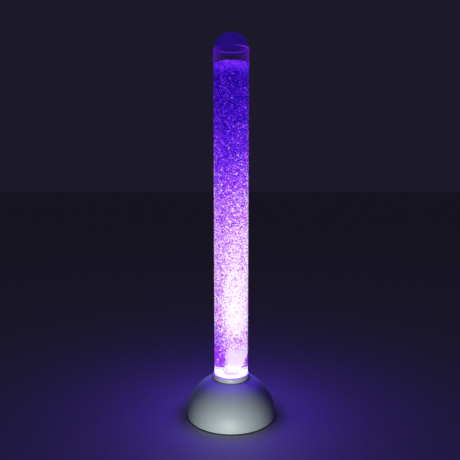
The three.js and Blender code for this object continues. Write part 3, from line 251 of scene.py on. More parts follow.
# Base shell: one moulding of silver-grey plastic with a satin skin and a thin wall.
# Its crown carries the collar, and a recessed panel at the rear holds the buttons and the inlet.
shell_low, shell_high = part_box("base_shell")
collar_low, collar_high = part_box("tube_collar")
shell_radius = shell_high.x
shell_wall = 0.0026
crown_land = 0.0016
crown_radius = collar_high.x + crown_land
shell_rise = (shell_high.z - shell_low.z) / math.sqrt(1 - (crown_radius / shell_radius) ** 2)
crown_opening = 0.0416
dome_steps = 28
panel_plane = 0.093
panel_width = 0.066
panel_low, panel_high = 0.015, 0.039
recess_reach = 0.12
recess_corner, corner_steps = 0.0025, 4
bore_start, bore_end = 0.08, 0.11
button_radius = 0.005
barrel_radius = 0.0039
slip = 0.0003
smooth_sides, round_sides, small_sides = 128, 96, 48


def fillet(outline):
    """The outline's points, with an arc at each corner that has a radius as its third number."""
    most_of_side = 0.49
    points = []
    count = len(outline)
    for i, (r, z, *radius) in enumerate(outline):
        here = Vector((r, z))
        if not radius:
            points.append((r, z))
            continue
        before = Vector(outline[i - 1][:2]) - here
        after = Vector(outline[(i + 1) % count][:2]) - here
        half = before.angle(after) / 2
        room = most_of_side * min(before.length, after.length)
        reach = min(radius[0] / math.tan(half), room)
        start = here + before.normalized() * reach
        end = here + after.normalized() * reach
        for share in (0, 0.25, 0.5, 0.75, 1):
            bend = start * (1 - share) ** 2 + here * 2 * share * (1 - share) + end * share ** 2
            points.append((bend.x, bend.y))
    return points


def turned(outline, sides=smooth_sides, closed=True):
    """A mesh turned about Z from (radius, height) pairs, with the last joined to the first if closed."""
    on_axis = 1e-7
    shape = bmesh.new()
    rings = []
    for r, z in fillet(outline):
        if r < on_axis:
            rings.append([shape.verts.new((0, 0, z))])
            continue
        turn = [2 * math.pi * k / sides for k in range(sides)]
        rings.append([shape.verts.new((r * math.cos(a), r * math.sin(a), z)) for a in turn])
    pairs = list(zip(rings, rings[1:]))
    if closed and (len(rings[0]) > 1 or len(rings[-1]) > 1):
        pairs.append((rings[-1], rings[0]))
    for first, second in pairs:
        for k in range(sides):
            n = (k + 1) % sides
            lower = [first[k % len(first)], first[n % len(first)]]
            upper = [second[n % len(second)], second[k % len(second)]]
            loop = list(dict.fromkeys(lower + upper))
            if len(loop) > 2:
                shape.faces.new(loop)
    bmesh.ops.recalc_face_normals(shape, faces=shape.faces)
    return shape


def made(name, shape, finish, node, body="base", crease=32):
    """The piece that stands for a node, smooth except over creases, riding on its body if it has one."""
    for face in shape.faces:
        face.smooth = True
    for edge in shape.edges:
        edge.smooth = edge.is_boundary or edge.calc_face_angle(0) < math.radians(crease)
    mesh = bpy.data.meshes.new(name)
    shape.to_mesh(mesh)
    shape.free()
    piece = bpy.data.objects.new(name, mesh)
    bpy.context.collection.objects.link(piece)
    mesh.materials.append(finish.material)
    if body:
        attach(piece, body)
    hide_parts(node)
    return piece


def box_mesh(low, high, edge=0.0):
    """A block between two corners, with its edges rounded if they have a radius."""
    shape = bmesh.new()
    bmesh.ops.create_cube(shape, size=1)
    size = Vector(high) - Vector(low)
    middle = (Vector(high) + Vector(low)) / 2
    bmesh.ops.scale(shape, vec=size, verts=shape.verts)
    bmesh.ops.translate(shape, vec=middle, verts=shape.verts)
    if edge:
        rounding = {"offset": edge, "segments": corner_steps, "affect": "EDGES", "profile": 0.5}
        bmesh.ops.bevel(shape, geom=shape.edges[:], **rounding)
    return shape


def combined(shape, operation, others):
    """The mesh joined with other meshes, cut by them or kept within them."""
    scratch = []

    def stand_in(part):
        mesh = bpy.data.meshes.new("scratch")
        part.to_mesh(mesh)
        part.free()
        thing = bpy.data.objects.new("scratch", mesh)
        bpy.context.collection.objects.link(thing)
        scratch.append(thing)
        return thing

    base = stand_in(shape)
    for other in others:
        step = base.modifiers.new("step", "BOOLEAN")
        step.operation = operation
        step.solver = "EXACT"
        step.object = stand_in(other)
    done = base.evaluated_get(bpy.context.evaluated_depsgraph_get()).to_mesh()
    result = bmesh.new()
    result.from_mesh(done)
    for thing in scratch:
        bpy.data.objects.remove(thing)
    return result


def along_y(shape, x, z):
    """A mesh turned about Z, laid so that its axis runs along Y through a place."""
    bmesh.ops.rotate(shape, verts=shape.verts, cent=(0, 0, 0), matrix=Matrix.Rotation(-math.pi / 2, 3, "X"))
    bmesh.ops.translate(shape, verts=shape.verts, vec=(x, 0, z))
    return shape


def dome_outline(depth):
    """A stretch of an ellipse from the shell's edge up to its crown, at a depth under its skin."""
    radius = shell_radius - depth
    rise = shell_rise - depth
    last = math.asin((shell_high.z - depth - shell_low.z) / rise)
    return [
        (radius * math.cos(last * k / dome_steps), shell_low.z + rise * math.sin(last * k / dome_steps))
        for k in range(dome_steps + 1)
    ]


silver_light, silver_dark = (0.60, 0.66, 0.64), (0.50, 0.55, 0.54)
silver = Finish("satin_silver_shell")
cloud = silver.grain(9.0, 2.0)
speck = silver.grain(900.0, 2.0)
silver.wear(Base_Color=silver.mix(cloud * 0.6 + speck * 0.3, silver_dark, silver_light))
silver.wear(Roughness=0.40 + 0.12 * silver.grain(40.0, 4.0))
silver.bump(silver.grain(2600.0, 2.0), 0.00003, 0.35)

outer = dome_outline(0)
inner = dome_outline(shell_wall)
shell_outline = [
    (inner[0][0], shell_low.z),
    (outer[0][0], shell_low.z, 0.0006),
    *outer[1:-1],
    (*outer[-1], 0.0008),
    (crown_opening, shell_high.z, 0.0003),
    (crown_opening, shell_high.z - shell_wall),
    *inner[1:][::-1],
]
shell_shape = turned(shell_outline)
panel_x = panel_width / 2
tub = box_mesh(
    (-panel_x - shell_wall, panel_plane - shell_wall, panel_low - shell_wall),
    (panel_x + shell_wall, shell_radius, panel_high + shell_wall),
)
whole_dome = turned([(0, shell_low.z), (outer[0][0], shell_low.z), *outer[1:], (0, shell_high.z)])
tub = combined(tub, "INTERSECT", [whole_dome])
shell_shape = combined(shell_shape, "UNION", [tub])
recess_low, recess_high = (-panel_x, panel_plane, panel_low), (panel_x, recess_reach, panel_high)
recess = box_mesh(recess_low, recess_high, recess_corner)
light_low, light_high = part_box("light_button")
bubble_low, bubble_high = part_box("bubble_button")
jack_low, jack_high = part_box("dc_jack")
panel_mid = (light_low.z + light_high.z) / 2
light_x = (light_low.x + light_high.x) / 2
bubble_x = (bubble_low.x + bubble_high.x) / 2
jack_x = (jack_low.x + jack_high.x) / 2


def bore(x, radius):
    """The hole in the panel for a button or for the inlet, with a slip all round."""
    wide = radius + slip
    outline = [(0, bore_start), (wide, bore_start), (wide, bore_end), (0, bore_end)]
    return along_y(turned(outline, small_sides), x, panel_mid)


bores = [bore(light_x, button_radius), bore(bubble_x, button_radius), bore(jack_x, barrel_radius)]
shell_shape = combined(shell_shape, "DIFFERENCE", [recess, *bores])
made("base_dome", shell_shape, silver, "base_shell", crease=28)


# Bottom cover, feet and screws: a black cover closes the base from below, four self-tapping screws hold it,
# and four rubber feet are pressed into its recesses. They keep their modelled shapes.
def matt(name, dark, pale, roughness, grain=1500.0, depth=0.00004):
    """Moulded plastic or rubber with a fine grain."""
    spread = 0.12
    finish = Finish(name)
    finish.wear(Base_Color=finish.mix(finish.grain(60.0, 4.0), dark, pale))
    finish.wear(Roughness=roughness - spread / 2 + spread * finish.grain(200.0, 3.0))
    finish.bump(finish.grain(grain, 2.0), depth, 0.4)
    return finish


def paint(finish, *names):
    """Gives modelled nodes a finish."""
    for name in names:
        for face in nodes[name].data.polygons:
            face.use_smooth = False
        nodes[name].material_slots[0].material = finish.material


black_plastic = matt("black_moulding", (0.018, 0.018, 0.02), (0.035, 0.035, 0.04), 0.6)
black_rubber = matt("black_rubber", (0.012, 0.012, 0.013), (0.028, 0.027, 0.028), 0.85, 900.0, 0.00006)
zinc = Finish("zinc_plated_steel", Metallic=1.0)
zinc.wear(Base_Color=zinc.mix(zinc.grain(400.0, 3.0), (0.42, 0.43, 0.45), (0.62, 0.63, 0.64)))
zinc.wear(Roughness=0.28 + 0.16 * zinc.grain(2500.0, 2.0))
paint(black_plastic, "base_cover")
paint(black_rubber, "foot_1", "foot_2", "foot_3", "foot_4")
paint(zinc, *[f"cover_screw_{i}" for i in range(1, 5)])


# Rear panel: two round push buttons in their holes, and the low-voltage inlet with its nut.
# The buttons are grey like the shell, with a dished face, and each rides on its own body.
stem_radius, flange_radius = 0.0018, 0.0064
flange_back, flange_front = 0.0887, 0.0901
dish_rim, dish_floor = 0.72 * button_radius, 0.5 * button_radius
dish_depth, dish_edge_depth = 0.0005, 0.0004
grey_button = matt("grey_button", (0.30, 0.33, 0.33), (0.38, 0.41, 0.41), 0.5)
button_outline = [
    (0, light_low.y),
    (stem_radius, light_low.y),
    (stem_radius, flange_back),
    (flange_radius, flange_back, 0.0002),
    (flange_radius, flange_front, 0.0002),
    (button_radius, flange_front),
    (button_radius, light_high.y, 0.0009),
    (dish_rim, light_high.y, 0.0005),
    (dish_floor, light_high.y - dish_edge_depth, 0.0006),
    (0, light_high.y - dish_depth),
]
for name, x, body in (("light_button", light_x, "light_key"), ("bubble_button", bubble_x, "bubble_key")):
    button_shape = along_y(turned(button_outline, small_sides), x, panel_mid)
    made(f"{name}_cap", button_shape, grey_button, name, body)
gloss_black = matt("semi_gloss_black", (0.012, 0.012, 0.014), (0.022, 0.022, 0.024), 0.3)
paint(gloss_black, "dc_jack")
paint(zinc, "jack_nut")


# Inside the base: control board and switches, and the diaphragm air pump on its rubber mounts.
# They are hidden in use, keep their modelled shapes and get their own finishes.
white_plastic = matt("natural_white_moulding", (0.62, 0.62, 0.58), (0.74, 0.74, 0.71), 0.5)
paint(white_plastic, "light_switch_plunger", "bubble_switch_plunger", "valve_box", "check_valve")
paint(gloss_black, "light_switch_case", "bubble_switch_case", "control_chip")
board_green = Finish("green_solder_mask")
track_net = {"Vector": board_green.place, "Scale": 220.0}
track = board_green.node("ShaderNodeTexVoronoi", {"feature": "DISTANCE_TO_EDGE"}, track_net)
board_tone = board_green.mix(track.within(0.02, 0.06), (0.03, 0.24, 0.11), (0.01, 0.12, 0.05))
board_green.wear(Base_Color=board_tone)
board_green.wear(Roughness=0.35 + 0.15 * board_green.grain(300.0))
paint(board_green, "control_board")
sleeve_blue = matt("blue_sleeve", (0.012, 0.02, 0.09), (0.02, 0.03, 0.13), 0.35)
paint(sleeve_blue, "filter_capacitor")
paint(black_plastic, "pump_case", "pump_lid", "led_lead", "pump_lead")
paint(zinc, "pivot_pin", "pump_arm")
core_steel = Finish("varnished_laminations", Metallic=0.9)
sheets = {"Vector": core_steel.place, "Scale": 300.0}
sheet_lines = core_steel.node("ShaderNodeTexWave", {"bands_direction": "Z"}, sheets)
core_steel.wear(Base_Color=core_steel.mix(sheet_lines, (0.10, 0.10, 0.11), (0.26, 0.26, 0.28)))
core_steel.wear(Roughness=0.4 + 0.2 * sheet_lines)
paint(core_steel, "pump_core")
copper = Finish("copper_winding", Metallic=0.6)
turns = copper.node("ShaderNodeTexWave", {"bands_direction": "X"}, {"Vector": copper.place, "Scale": 420.0})
copper.wear(Base_Color=copper.mix(turns, (0.16, 0.04, 0.012), (0.52, 0.19, 0.06)))
copper.wear(Roughness=0.3 + 0.2 * turns)
paint(copper, "pump_coil")
ferrite = matt("ferrite", (0.035, 0.035, 0.038), (0.07, 0.07, 0.072), 0.6)
paint(ferrite, "pump_magnet")
paint(black_rubber, "flap_valve", *[f"pump_cushion_{i}" for i in range(1, 5)])
hose = Finish("clear_silicone", Roughness=0.35)
hose.wear(Base_Color=hose.mix(hose.grain(80.0), (0.62, 0.65, 0.68), (0.72, 0.75, 0.78)))
hose.wear(Alpha=0.75 + 0.15 * hose.grain(50.0))
paint(hose, "lower_hose", "upper_hose")


# Pump diaphragm: a moulded rubber cone. The valve box clamps its rim, and its nipple is pulled through
# the pump's arm. Here it is made in one fixed shape and rides on no body.
diaphragm_low, diaphragm_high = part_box("pump_diaphragm")
arm_low, arm_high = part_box("pump_arm")
rubber_skin = 0.0012
cone_depth = 0.007
rim_radius, rim_thickness = diaphragm_high.y, 0.0016
hub_radius, hub_plane = 0.005, diaphragm_high.x - cone_depth
hub_face = hub_plane + rubber_skin
nipple_radius = 0.0015
nipple_head, head_length = 0.0025, 0.0014
nipple_end = diaphragm_low.x + head_length
cone_foot = diaphragm_high.x - rim_thickness - rubber_skin
diaphragm_shape = turned([
    (0, hub_face),
    (hub_radius - rubber_skin, hub_face, 0.0008),
    (rim_radius - 2 * rim_thickness, diaphragm_high.x - rim_thickness, 0.0012),
    (rim_radius - 2 * rim_thickness, diaphragm_high.x, 0.0002),
    (rim_radius, diaphragm_high.x, 0.0003),
    (rim_radius, diaphragm_high.x - rim_thickness, 0.0003),
    (rim_radius - rim_thickness, cone_foot, 0.0012),
    (hub_radius, hub_plane, 0.0012),
    (nipple_radius, hub_plane, 0.0002),
    (nipple_radius, nipple_end),
    (nipple_head, nipple_end, 0.0004),
    (nipple_radius, diaphragm_low.x, 0.0004),
    (0, diaphragm_low.x),
], small_sides)
bmesh.ops.rotate(diaphragm_shape, verts=diaphragm_shape.verts, matrix=Matrix.Rotation(math.pi / 2, 3, "Y"))
arm_middle = (0, 0, (arm_low.z + arm_high.z) / 2)
bmesh.ops.translate(diaphragm_shape, verts=diaphragm_shape.verts, vec=arm_middle)
diaphragm = made("diaphragm_cone", diaphragm_shape, black_rubber, "pump_diaphragm", None)
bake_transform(diaphragm)


# Trim collar: a moulded ring round the tube's foot, painted paler than the shell: the paler tone is painted
# light, standing in for the light that the column's foot throws on it.
# It is snapped into the shell's crown.
collar_inner = 0.0403
collar_foot = shell_high.z + slip
skirt_radius = 0.0413
collar_finish = Finish("satin_collar")
collar_tone = collar_finish.grain(30.0, 3.0)
# Painted light: this pale base colour stands in for the light from the column's foot; the ring's own plastic
# is the shell's silver-grey.
collar_finish.wear(Base_Color=collar_finish.mix(collar_tone, (0.80, 0.86, 0.87), (0.86, 0.92, 0.92)))
collar_finish.wear(Roughness=0.28 + 0.12 * collar_finish.grain(120.0, 3.0))
collar_finish.bump(collar_finish.grain(2600.0, 2.0), 0.00003, 0.35)
collar_shape = turned([
    (collar_inner, collar_low.z),
    (skirt_radius, collar_low.z),
    (skirt_radius, collar_foot),
    (collar_high.x, collar_foot, 0.0005),
    (collar_high.x, collar_high.z, 0.0011),
    (collar_inner, collar_high.z, 0.0005),
])
made("collar_ring", collar_shape, collar_finish, "tube_collar")


# Tube socket and light board: a white moulded socket, screwed up under the shell's crown, holds the tube.
# It carries a round white board with six lamps that shine up through the clear plug.
paint(white_plastic, "tube_socket")
paint(zinc, *[f"socket_screw_{i}" for i in range(1, 4)])
white_board = matt("white_solder_mask", (0.66, 0.66, 0.64), (0.76, 0.76, 0.74), 0.4)
paint(white_board, "led_board")
lit_lamp = Finish("lit_lamp", Roughness=0.3, Emission_Strength=6.0)
lit_lamp.wear(Base_Color=(0.9, 0.85, 0.6))
lit_lamp.wear(Emission_Color=lit_lamp.mix(lit_lamp.grain(600.0), (0.7, 0.45, 1.0), (1.0, 0.8, 1.0)))
paint(lit_lamp, *[f"led_{i}" for i in range(1, 7)])


# Clear tube: a stock acrylic tube with polished ends, cemented to its plug and held in the socket.
# Light that runs up inside the wall comes out at the rim, which shows as a violet ring.
tube_low, tube_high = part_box("clear_tube")
water_low, water_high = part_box("water_column")
tube_radius = tube_high.x
tube_wall = 0.003
tube_bore = tube_radius - tube_wall
water_crown = 0.0025
water_top = water_high.z - water_crown
rim_band = 0.0018
acrylic_bend, wet_bend = 1.49, 1.12
acrylic_tint = (0.985, 0.98, 1.0)
deeper_tint = tuple(0.985 * share for share in acrylic_tint)


def clear(name, bend):
    """Polished acrylic that bends light by an index. A wetted wall bends it less."""
    finish = Finish(name, Transmission_Weight=1.0, IOR=bend, Roughness=0.0)
    finish.wear(Base_Color=finish.mix(finish.grain(20.0), acrylic_tint, deeper_tint))
    return finish


def edge_glow(finish, colour, strength):
    """Glass that glows where it is seen edge on, because more of the lit wall lies behind it."""
    edge = finish.node("ShaderNodeLayerWeight", sockets={"Blend": 0.5}, output="Facing")
    glow = finish.node("ShaderNodeEmission", sockets={"Color": colour, "Strength": strength})
    glass = Tone(finish, finish.surface.outputs[0])
    mixed = finish.node("ShaderNodeMixShader", sockets={0: edge ** 1.6, 1: glass, 2: glow})
    finish.give(finish.output, {"Surface": mixed})


acrylic = clear("clear_acrylic", acrylic_bend)
wet_acrylic = clear("wetted_acrylic", wet_bend)
lit_wall = clear("edge_lit_acrylic", acrylic_bend)
edge_glow(lit_wall, (0.12, 0.008, 0.62, 1), 1.0)
lit_rim = Finish("lit_tube_rim", Roughness=0.2, Emission_Strength=1.0)
rim_right = lit_rim.part_of(0).within(0.004, 0.03)
rim_back = lit_rim.part_of(1).within(-0.02, 0.01)
rim_front = lit_rim.mix(rim_right, (0.035, 0.002, 0.22), (0.23, 0.017, 0.62))
lit_rim.wear(Base_Color=(0.3, 0.1, 0.6))
lit_rim.wear(Emission_Color=lit_rim.mix(rim_back, rim_front, (0.17, 0.010, 0.53)))
tube_shape = turned([
    (tube_bore, tube_low.z),
    (tube_radius, tube_low.z),
    (tube_radius, water_top),
    (tube_radius, tube_high.z - rim_band),
    (tube_radius, tube_high.z, 0.0007),
    (tube_bore, tube_high.z, 0.0007),
    (tube_bore, tube_high.z - rim_band),
    (tube_bore, water_top),
])
tube_piece = made("tube_wall", tube_shape, acrylic, "clear_tube")
for finish in (wet_acrylic, lit_wall, lit_rim):
    tube_piece.data.materials.append(finish.material)
wetted, edge_lit, rim_lit = 1, 2, 3
for face in tube_piece.data.polygons:
    middle = face.center
    inside = math.hypot(middle.x, middle.y) < tube_bore + slip
    if middle.z > tube_high.z - rim_band:
        face.material_index = rim_lit
    elif inside and middle.z < water_top:
        face.material_index = wetted
    elif middle.z > water_top and not inside:
        face.material_index = edge_lit


# Plug, seal and air stone: the clear floor of the tube glows with the lamps below it, and a rubber ring
# in its groove seals it. The stone sits in its middle and breaks the pump's air into small bubbles.
paint(black_rubber, "tube_seal")
plug_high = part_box("tube_plug")[1]
stone_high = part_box("air_stone")[1]
plug_radius = plug_high.x
plug_thickness = 0.012
stone_seat, seat_depth = 0.0133, 0.002
lit_plug = Finish("lit_clear_plug", Roughness=0.15, Emission_Strength=1.5)
lit_plug.wear(Base_Color=(0.8, 0.75, 0.9))
floor_light = lit_plug.mix(lit_plug.grain(60.0), (0.88, 0.84, 0.98), (1.0, 0.98, 1.0))
floor_place = lit_plug.node("ShaderNodeMapping", sockets={"Vector": lit_plug.place, "Scale": (1, 1, 0)})
reach = lit_plug.node("ShaderNodeVectorMath", {"operation": "LENGTH"}, {0: floor_place}, output="Value")
floor_edge = reach.within(plug_radius - 0.0016, plug_radius - 0.0004)
lit_plug.wear(Emission_Color=lit_plug.mix(floor_edge, floor_light, (0.20, 0.02, 0.62)))
plug_shape = turned([
    (0, plug_high.z - plug_thickness),
    (plug_radius, plug_high.z - plug_thickness, 0.0004),
    (plug_radius, plug_high.z, 0.0008),
    (stone_seat, plug_high.z, 0.0003),
    (stone_seat, plug_high.z - seat_depth),
    (0, plug_high.z - seat_depth),
], round_sides)
plug_piece = made("plug_floor", plug_shape, lit_plug, "tube_plug")
# Painted light: the stone is no lamp, but it glows white and violet through its pores, as if lit by the
# lamps below the plug.
stone = Finish("porous_stone", Roughness=0.9, Emission_Strength=1.0)
pores = stone.node("ShaderNodeTexVoronoi", sockets={"Vector": stone.place, "Scale": 900.0})
stone.wear(Base_Color=stone.mix(pores, (0.45, 0.47, 0.52), (0.75, 0.76, 0.8)))
stone.wear(Emission_Color=stone.mix(pores, (0.5, 0.3, 0.9), (1.0, 0.9, 1.0)))
stone.bump(pores, 0.0004)
paint(stone, "air_stone")


# Water: it fills the tube to a little under the rim and is lit from below.
# A white band of light stands on the floor with clear violet water beside the plume above it. Higher up
# the light is white, then lilac and violet, and deep blue-violet at the top.
water_foot = water_low.z
water_radius = water_high.x
column_height = water_high.z - water_foot
low_lead, high_lead = math.radians(14), math.radians(40)
lead_span, side_span = (0.34, 0.56), (-0.02, 0.02)
foot_light, best_light, dim_light, froth_light = 0.66, 0.92, 0.13, 0.3
rise_span, fall_span, froth_span = (0.08, 0.2), (0.38, 1.0), (0.95, 0.99)
side_lean, foot_lean = 0.07, 0.13
low_front, high_front, front_span = 1.33, 1.05, (0.2, 0.5)
deep_blue, blue_violet, violet = (0.01, 0.0, 0.25), (0.08, 0.01, 0.85), (0.25, 0.02, 0.95)
bright_violet, lilac, white = (0.6, 0.12, 0.95), (0.8, 0.3, 0.95), (1.15, 1.1, 1.1)
swarm_colours = [
    (0.0, deep_blue), (0.3, blue_violet), (0.5, violet), (0.7, bright_violet), (0.8, lilac), (1.0, white),
]


def height_share(finish):
    """How high a place lies in the water, from 0 at its foot to 1 at its top."""
    return (finish.part_of(2) - water_foot) / column_height


def swarm(finish, change):
    """The colour of the lit swarm, brighter or dimmer by a change of its light."""
    height = height_share(finish)
    across = finish.part_of(0)
    turn = across.math("ARCTAN2", across, 0 - finish.part_of(1))
    lead = low_lead + (high_lead - low_lead) * height.within(*lead_span)
    strands = 0.5 + 0.5 * turn.math("COSINE", 2 * (turn - lead))
    risen = height.within(*rise_span)
    fallen = height.within(*fall_span)
    froth = froth_light * height.within(*froth_span)
    level = foot_light + (best_light - foot_light) * risen - (best_light - dim_light) * fallen + froth
    lean = side_lean + foot_lean * (1 - risen)
    side = level * (1 + lean * (2 * across.within(*side_span) - 1))
    front = level * (low_front - (low_front - high_front) * height.within(*front_span))
    drift = 0.55 * (finish.grain(110.0, 2.0) - 0.5)
    return finish.ramp(side + strands * (front - side) + drift + change, swarm_colours)


floor_span, foot_span, top_span = (0.0055, 0.0075), (0.085, 0.13), (0.945, 0.975)
depth_span = (-0.01, 0.016)
water = Finish("lit_water", Roughness=0.05, Emission_Strength=1.0)
height = height_share(water)
swirl = water.grain(60.0, 4.0, (1, 1, 0.8))
small_cells = water.node("ShaderNodeTexVoronoi", sockets={"Vector": water.place, "Scale": 320.0})
calm = height.within(*top_span)
mottle = (0.6 * (swirl - 0.5) + 1.05 * (0.42 - small_cells) - 0.04) * (1 - 0.6 * calm)
far_side = water.part_of(1).within(*depth_span)
pocket_light = (swirl + 0.8 * (0.4 - small_cells)).within(0.3, 0.7)
clear_violet = water.mix(pocket_light, (0.30, 0.02, 0.92), (0.66, 0.08, 0.95))
clear_foot = water.mix(height.within(*foot_span), clear_violet, swarm(water, mottle))
floor_band = far_side * (1 - height.within(*floor_span))
water.wear(Base_Color=(0.02, 0.01, 0.06))
water.wear(Emission_Color=water.mix(floor_band, clear_foot, (1.1, 1.05, 1.1)))
near_haze = (0.28 + 0.06 * height.within(0.1, 0.2)) * height.within(0.03, 0.05)
far_haze = 0.72 - 0.22 * height.within(0.1, 0.3)
haze = near_haze + far_side * (far_haze - near_haze) + 0.19 * floor_band
water.wear(Alpha=height.within(0.0005, 0.002) * (0.06 + haze + 0.72 * calm))


def water_surface():
    """The column with a gently heaped and rippled top."""
    ring_shares = (0.85, 0.7, 0.55, 0.4, 0.25, 0.12)
    heap_height = 0.9 * water_crown
    wide_ripple, fine_ripple, tilt = 0.0006, 0.0004, 0.001
    hair = 1e-6
    outline = [(0, water_foot), (water_radius, water_foot), (water_radius, water_top)]
    shape = turned(outline, closed=False)
    rim = [v for v in shape.verts if v.co.z > water_top - hair]
    rim.sort(key=lambda v: math.atan2(v.co.y, v.co.x))
    rings = [rim]
    for share in ring_shares:
        rings.append([shape.verts.new((v.co.x * share, v.co.y * share, water_top)) for v in rim])
    middle = shape.verts.new((0, 0, water_top))
    count = len(rim)
    for first, second in zip(rings, rings[1:]):
        for k in range(count):
            n = (k + 1) % count
            shape.faces.new((first[k], first[n], second[n], second[k]))
    for k in range(count):
        shape.faces.new((rings[-1][k], rings[-1][(k + 1) % count], middle))
    for v in [middle, *[v for ring in rings for v in ring]]:
        reach = math.hypot(v.co.x, v.co.y) / water_radius
        turn = math.atan2(v.co.y, v.co.x)
        heap = heap_height * (1 + math.cos(math.pi * reach)) / 2
        ripple = wide_ripple * math.sin(3 * turn + 0.6) + fine_ripple * math.sin(7 * turn + 9 * reach)
        slope = tilt * v.co.x / water_radius
        v.co.z = water_top + heap + ripple + slope
    bmesh.ops.recalc_face_normals(shape, faces=shape.faces)
    return shape


water_piece = made("water_body", water_surface(), water, "water_column")


# Heart of the swarm: air from the stone rises in a widening plume and then fills most of the column.
# Here the bubbles lie so close that none can be told from the next, so the heart is one lumpy body.
bubble_seed = 11
dice = np.random.default_rng(bubble_seed)
heart_low, heart_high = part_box("bubble_swarm")
heart_radius = heart_high.y
plume_radius = 0.013
plume_height = 0.084
plume_lean, plume_ease = 0.009, 1.4
heart_crown = 0.014
tip_share, tip_radius = 0.002, 0.0004
lump_pitch, lump_depth, lumps_round = 0.012, 0.005, 10
white_rise, white_side = (0.035, 0.095), (-0.014, -0.004)
close_swarm = Finish("deep_swarm", Roughness=0.3, Emission_Strength=1.0)
cells = close_swarm.node("ShaderNodeTexVoronoi", sockets={"Vector": close_swarm.place, "Scale": 260.0})
dent = close_swarm.node("ShaderNodeAttribute", {"attribute_name": "dent"}, output="Fac")
near_floor = 1 - (close_swarm.part_of(2) - water_foot).within(*white_rise)
white_foot = 0.65 * near_floor * close_swarm.part_of(0).within(*white_side)
fine_grain = close_swarm.grain(220.0, 2.0)
heart_change = 0.8 * (0.42 - cells) + 0.4 * (fine_grain - 0.5) - 0.16 * dent + white_foot - 0.05
close_swarm.wear(Base_Color=(0.02, 0.01, 0.06))
close_swarm.wear(Emission_Color=swarm(close_swarm, heart_change))


def plume(height):
    """The radius of the swarm's heart at a height, and how far it leans."""
    share = np.clip((height - heart_low.z) / plume_height, 0, 1)
    eased = (share * share * (3 - 2 * share)) ** plume_ease
    return plume_radius + (heart_radius - plume_radius) * eased, plume_lean * np.sin(math.pi * share)


def swarm_part(name, points, faces, mark, values, finish):
    """A smooth part of the swarm on the base, with a value at each point that its finish reads."""
    mesh = bpy.data.meshes.new(name)
    mesh.from_pydata(points, [], faces)
    mesh.polygons.foreach_set("use_smooth", np.ones(len(mesh.polygons), bool))
    mesh.attributes.new(mark, "FLOAT", "POINT").data.foreach_set("value", values.astype(np.float32))
    mesh.materials.append(finish.material)
    part = bpy.data.objects.new(name, mesh)
    bpy.context.collection.objects.link(part)
    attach(part, "base")
    return part


def heart_column():
    """The heart as rings of points, with rows of lumps and a rounded top."""
    steps, sides = 300, 80
    z = np.linspace(heart_low.z, heart_high.z, steps)[:, None]
    turn = np.linspace(0, 2 * math.pi, sides, endpoint=False)[None]
    reach, lean = plume(z)
    under_top = np.clip((heart_high.z - z) / heart_crown, tip_share, 1)
    reach = reach * np.sqrt(1 - (1 - under_top) ** 2)
    row = np.sin(math.pi * (z - heart_high.z) / lump_pitch)
    dent = (0.5 - 0.5 * row * np.cos(lumps_round * turn)) * dice.uniform(0.75, 1.0, (steps, sides))
    radius = np.maximum(reach - lump_depth * dent * reach / heart_radius, tip_radius)
    points = np.stack([lean + radius * np.cos(turn), radius * np.sin(turn), z + 0 * turn], 2).reshape(-1, 3)
    faces = [
        (i * sides + k, i * sides + (k + 1) % sides, (i + 1) * sides + (k + 1) % sides, (i + 1) * sides + k)
        for i in range(steps - 1) for k in range(sides)
    ]
    faces += [tuple(range(sides))[::-1], tuple((steps - 1) * sides + k for k in range(sides))]
    return swarm_part("deep_swarm", points, faces, "dent", dent.ravel(), close_swarm)


heart = heart_column()
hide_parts("bubble_swarm")


# Bubbles: round the heart each one is a small flattened ball of air of its own, and some drift astray.
# They shine with the light from below, each by its own spark.
low_start, low_end, middle_end = stone_high.z + 0.002, 0.30, 0.56
high_end = water_top - 0.014
low_count, middle_count, high_count = 3000, 3500, 3300
bubble_size, size_spread = 0.00145, 0.3
least_size, most_size = 0.0007, 0.0027
width_range, flatness_range = (1.0, 1.5), (0.55, 0.95)
tilt_spread = 0.5
dim_weight, bright_weight = 0.7, 1.2
fringe_inside, fringe_outside = 0.003, 0.0045
wall_gap = 0.0022
open_radius = water_radius - wall_gap
stray_share = 0.2
paler_rise = (0.25, 0.5)
floor_glow_height = 0.08
floor_glow_left, floor_glow_edge = -0.016, 0.012
ball = bmesh.new()
bmesh.ops.create_icosphere(ball, subdivisions=1, radius=1)
ball_points = np.array([v.co[:] for v in ball.verts])
ball_faces = np.array([[v.index for v in f.verts] for f in ball.faces])
ball.free()
bubble = Finish("lit_bubbles", Roughness=0.1)
spark = bubble.node("ShaderNodeAttribute", {"attribute_name": "spark"}, output="Fac")
skin = bubble.node("ShaderNodeTexCoord", output="Normal")
upward = bubble.node("ShaderNodeSeparateXYZ", sockets={0: skin}, output=2)
bubble.wear(Base_Color=(0.05, 0.03, 0.08), Emission_Strength=1.0)
high_up = (bubble.part_of(2) - water_foot).within(*paler_rise)
bubble.wear(Emission_Color=swarm(bubble, (0.74 - 0.1 * high_up) * (spark - 0.3) - 0.05 * upward))


def bubble_places(low, high, count):
    """Middles of bubbles between two heights: most on the heart's fringe, and some astray."""
    height = dice.uniform(low, high, count)
    core, lean = plume(height)
    astray = dice.uniform(0, 1, count) < stray_share
    stray_reach = np.sqrt(core ** 2 + (open_radius ** 2 - core ** 2) * dice.uniform(0, 1, count))
    fringe = dice.uniform(-fringe_inside, fringe_outside, count)
    reach = np.where(astray, stray_reach, core + fringe * core / heart_radius)
    turn = dice.uniform(0, 2 * math.pi, count)
    places = np.stack([reach * np.cos(turn) + lean * ~astray, reach * np.sin(turn), height], 1)
    places[:, :2] *= np.minimum(1, open_radius / np.hypot(places[:, 0], places[:, 1]))[:, None]
    return places


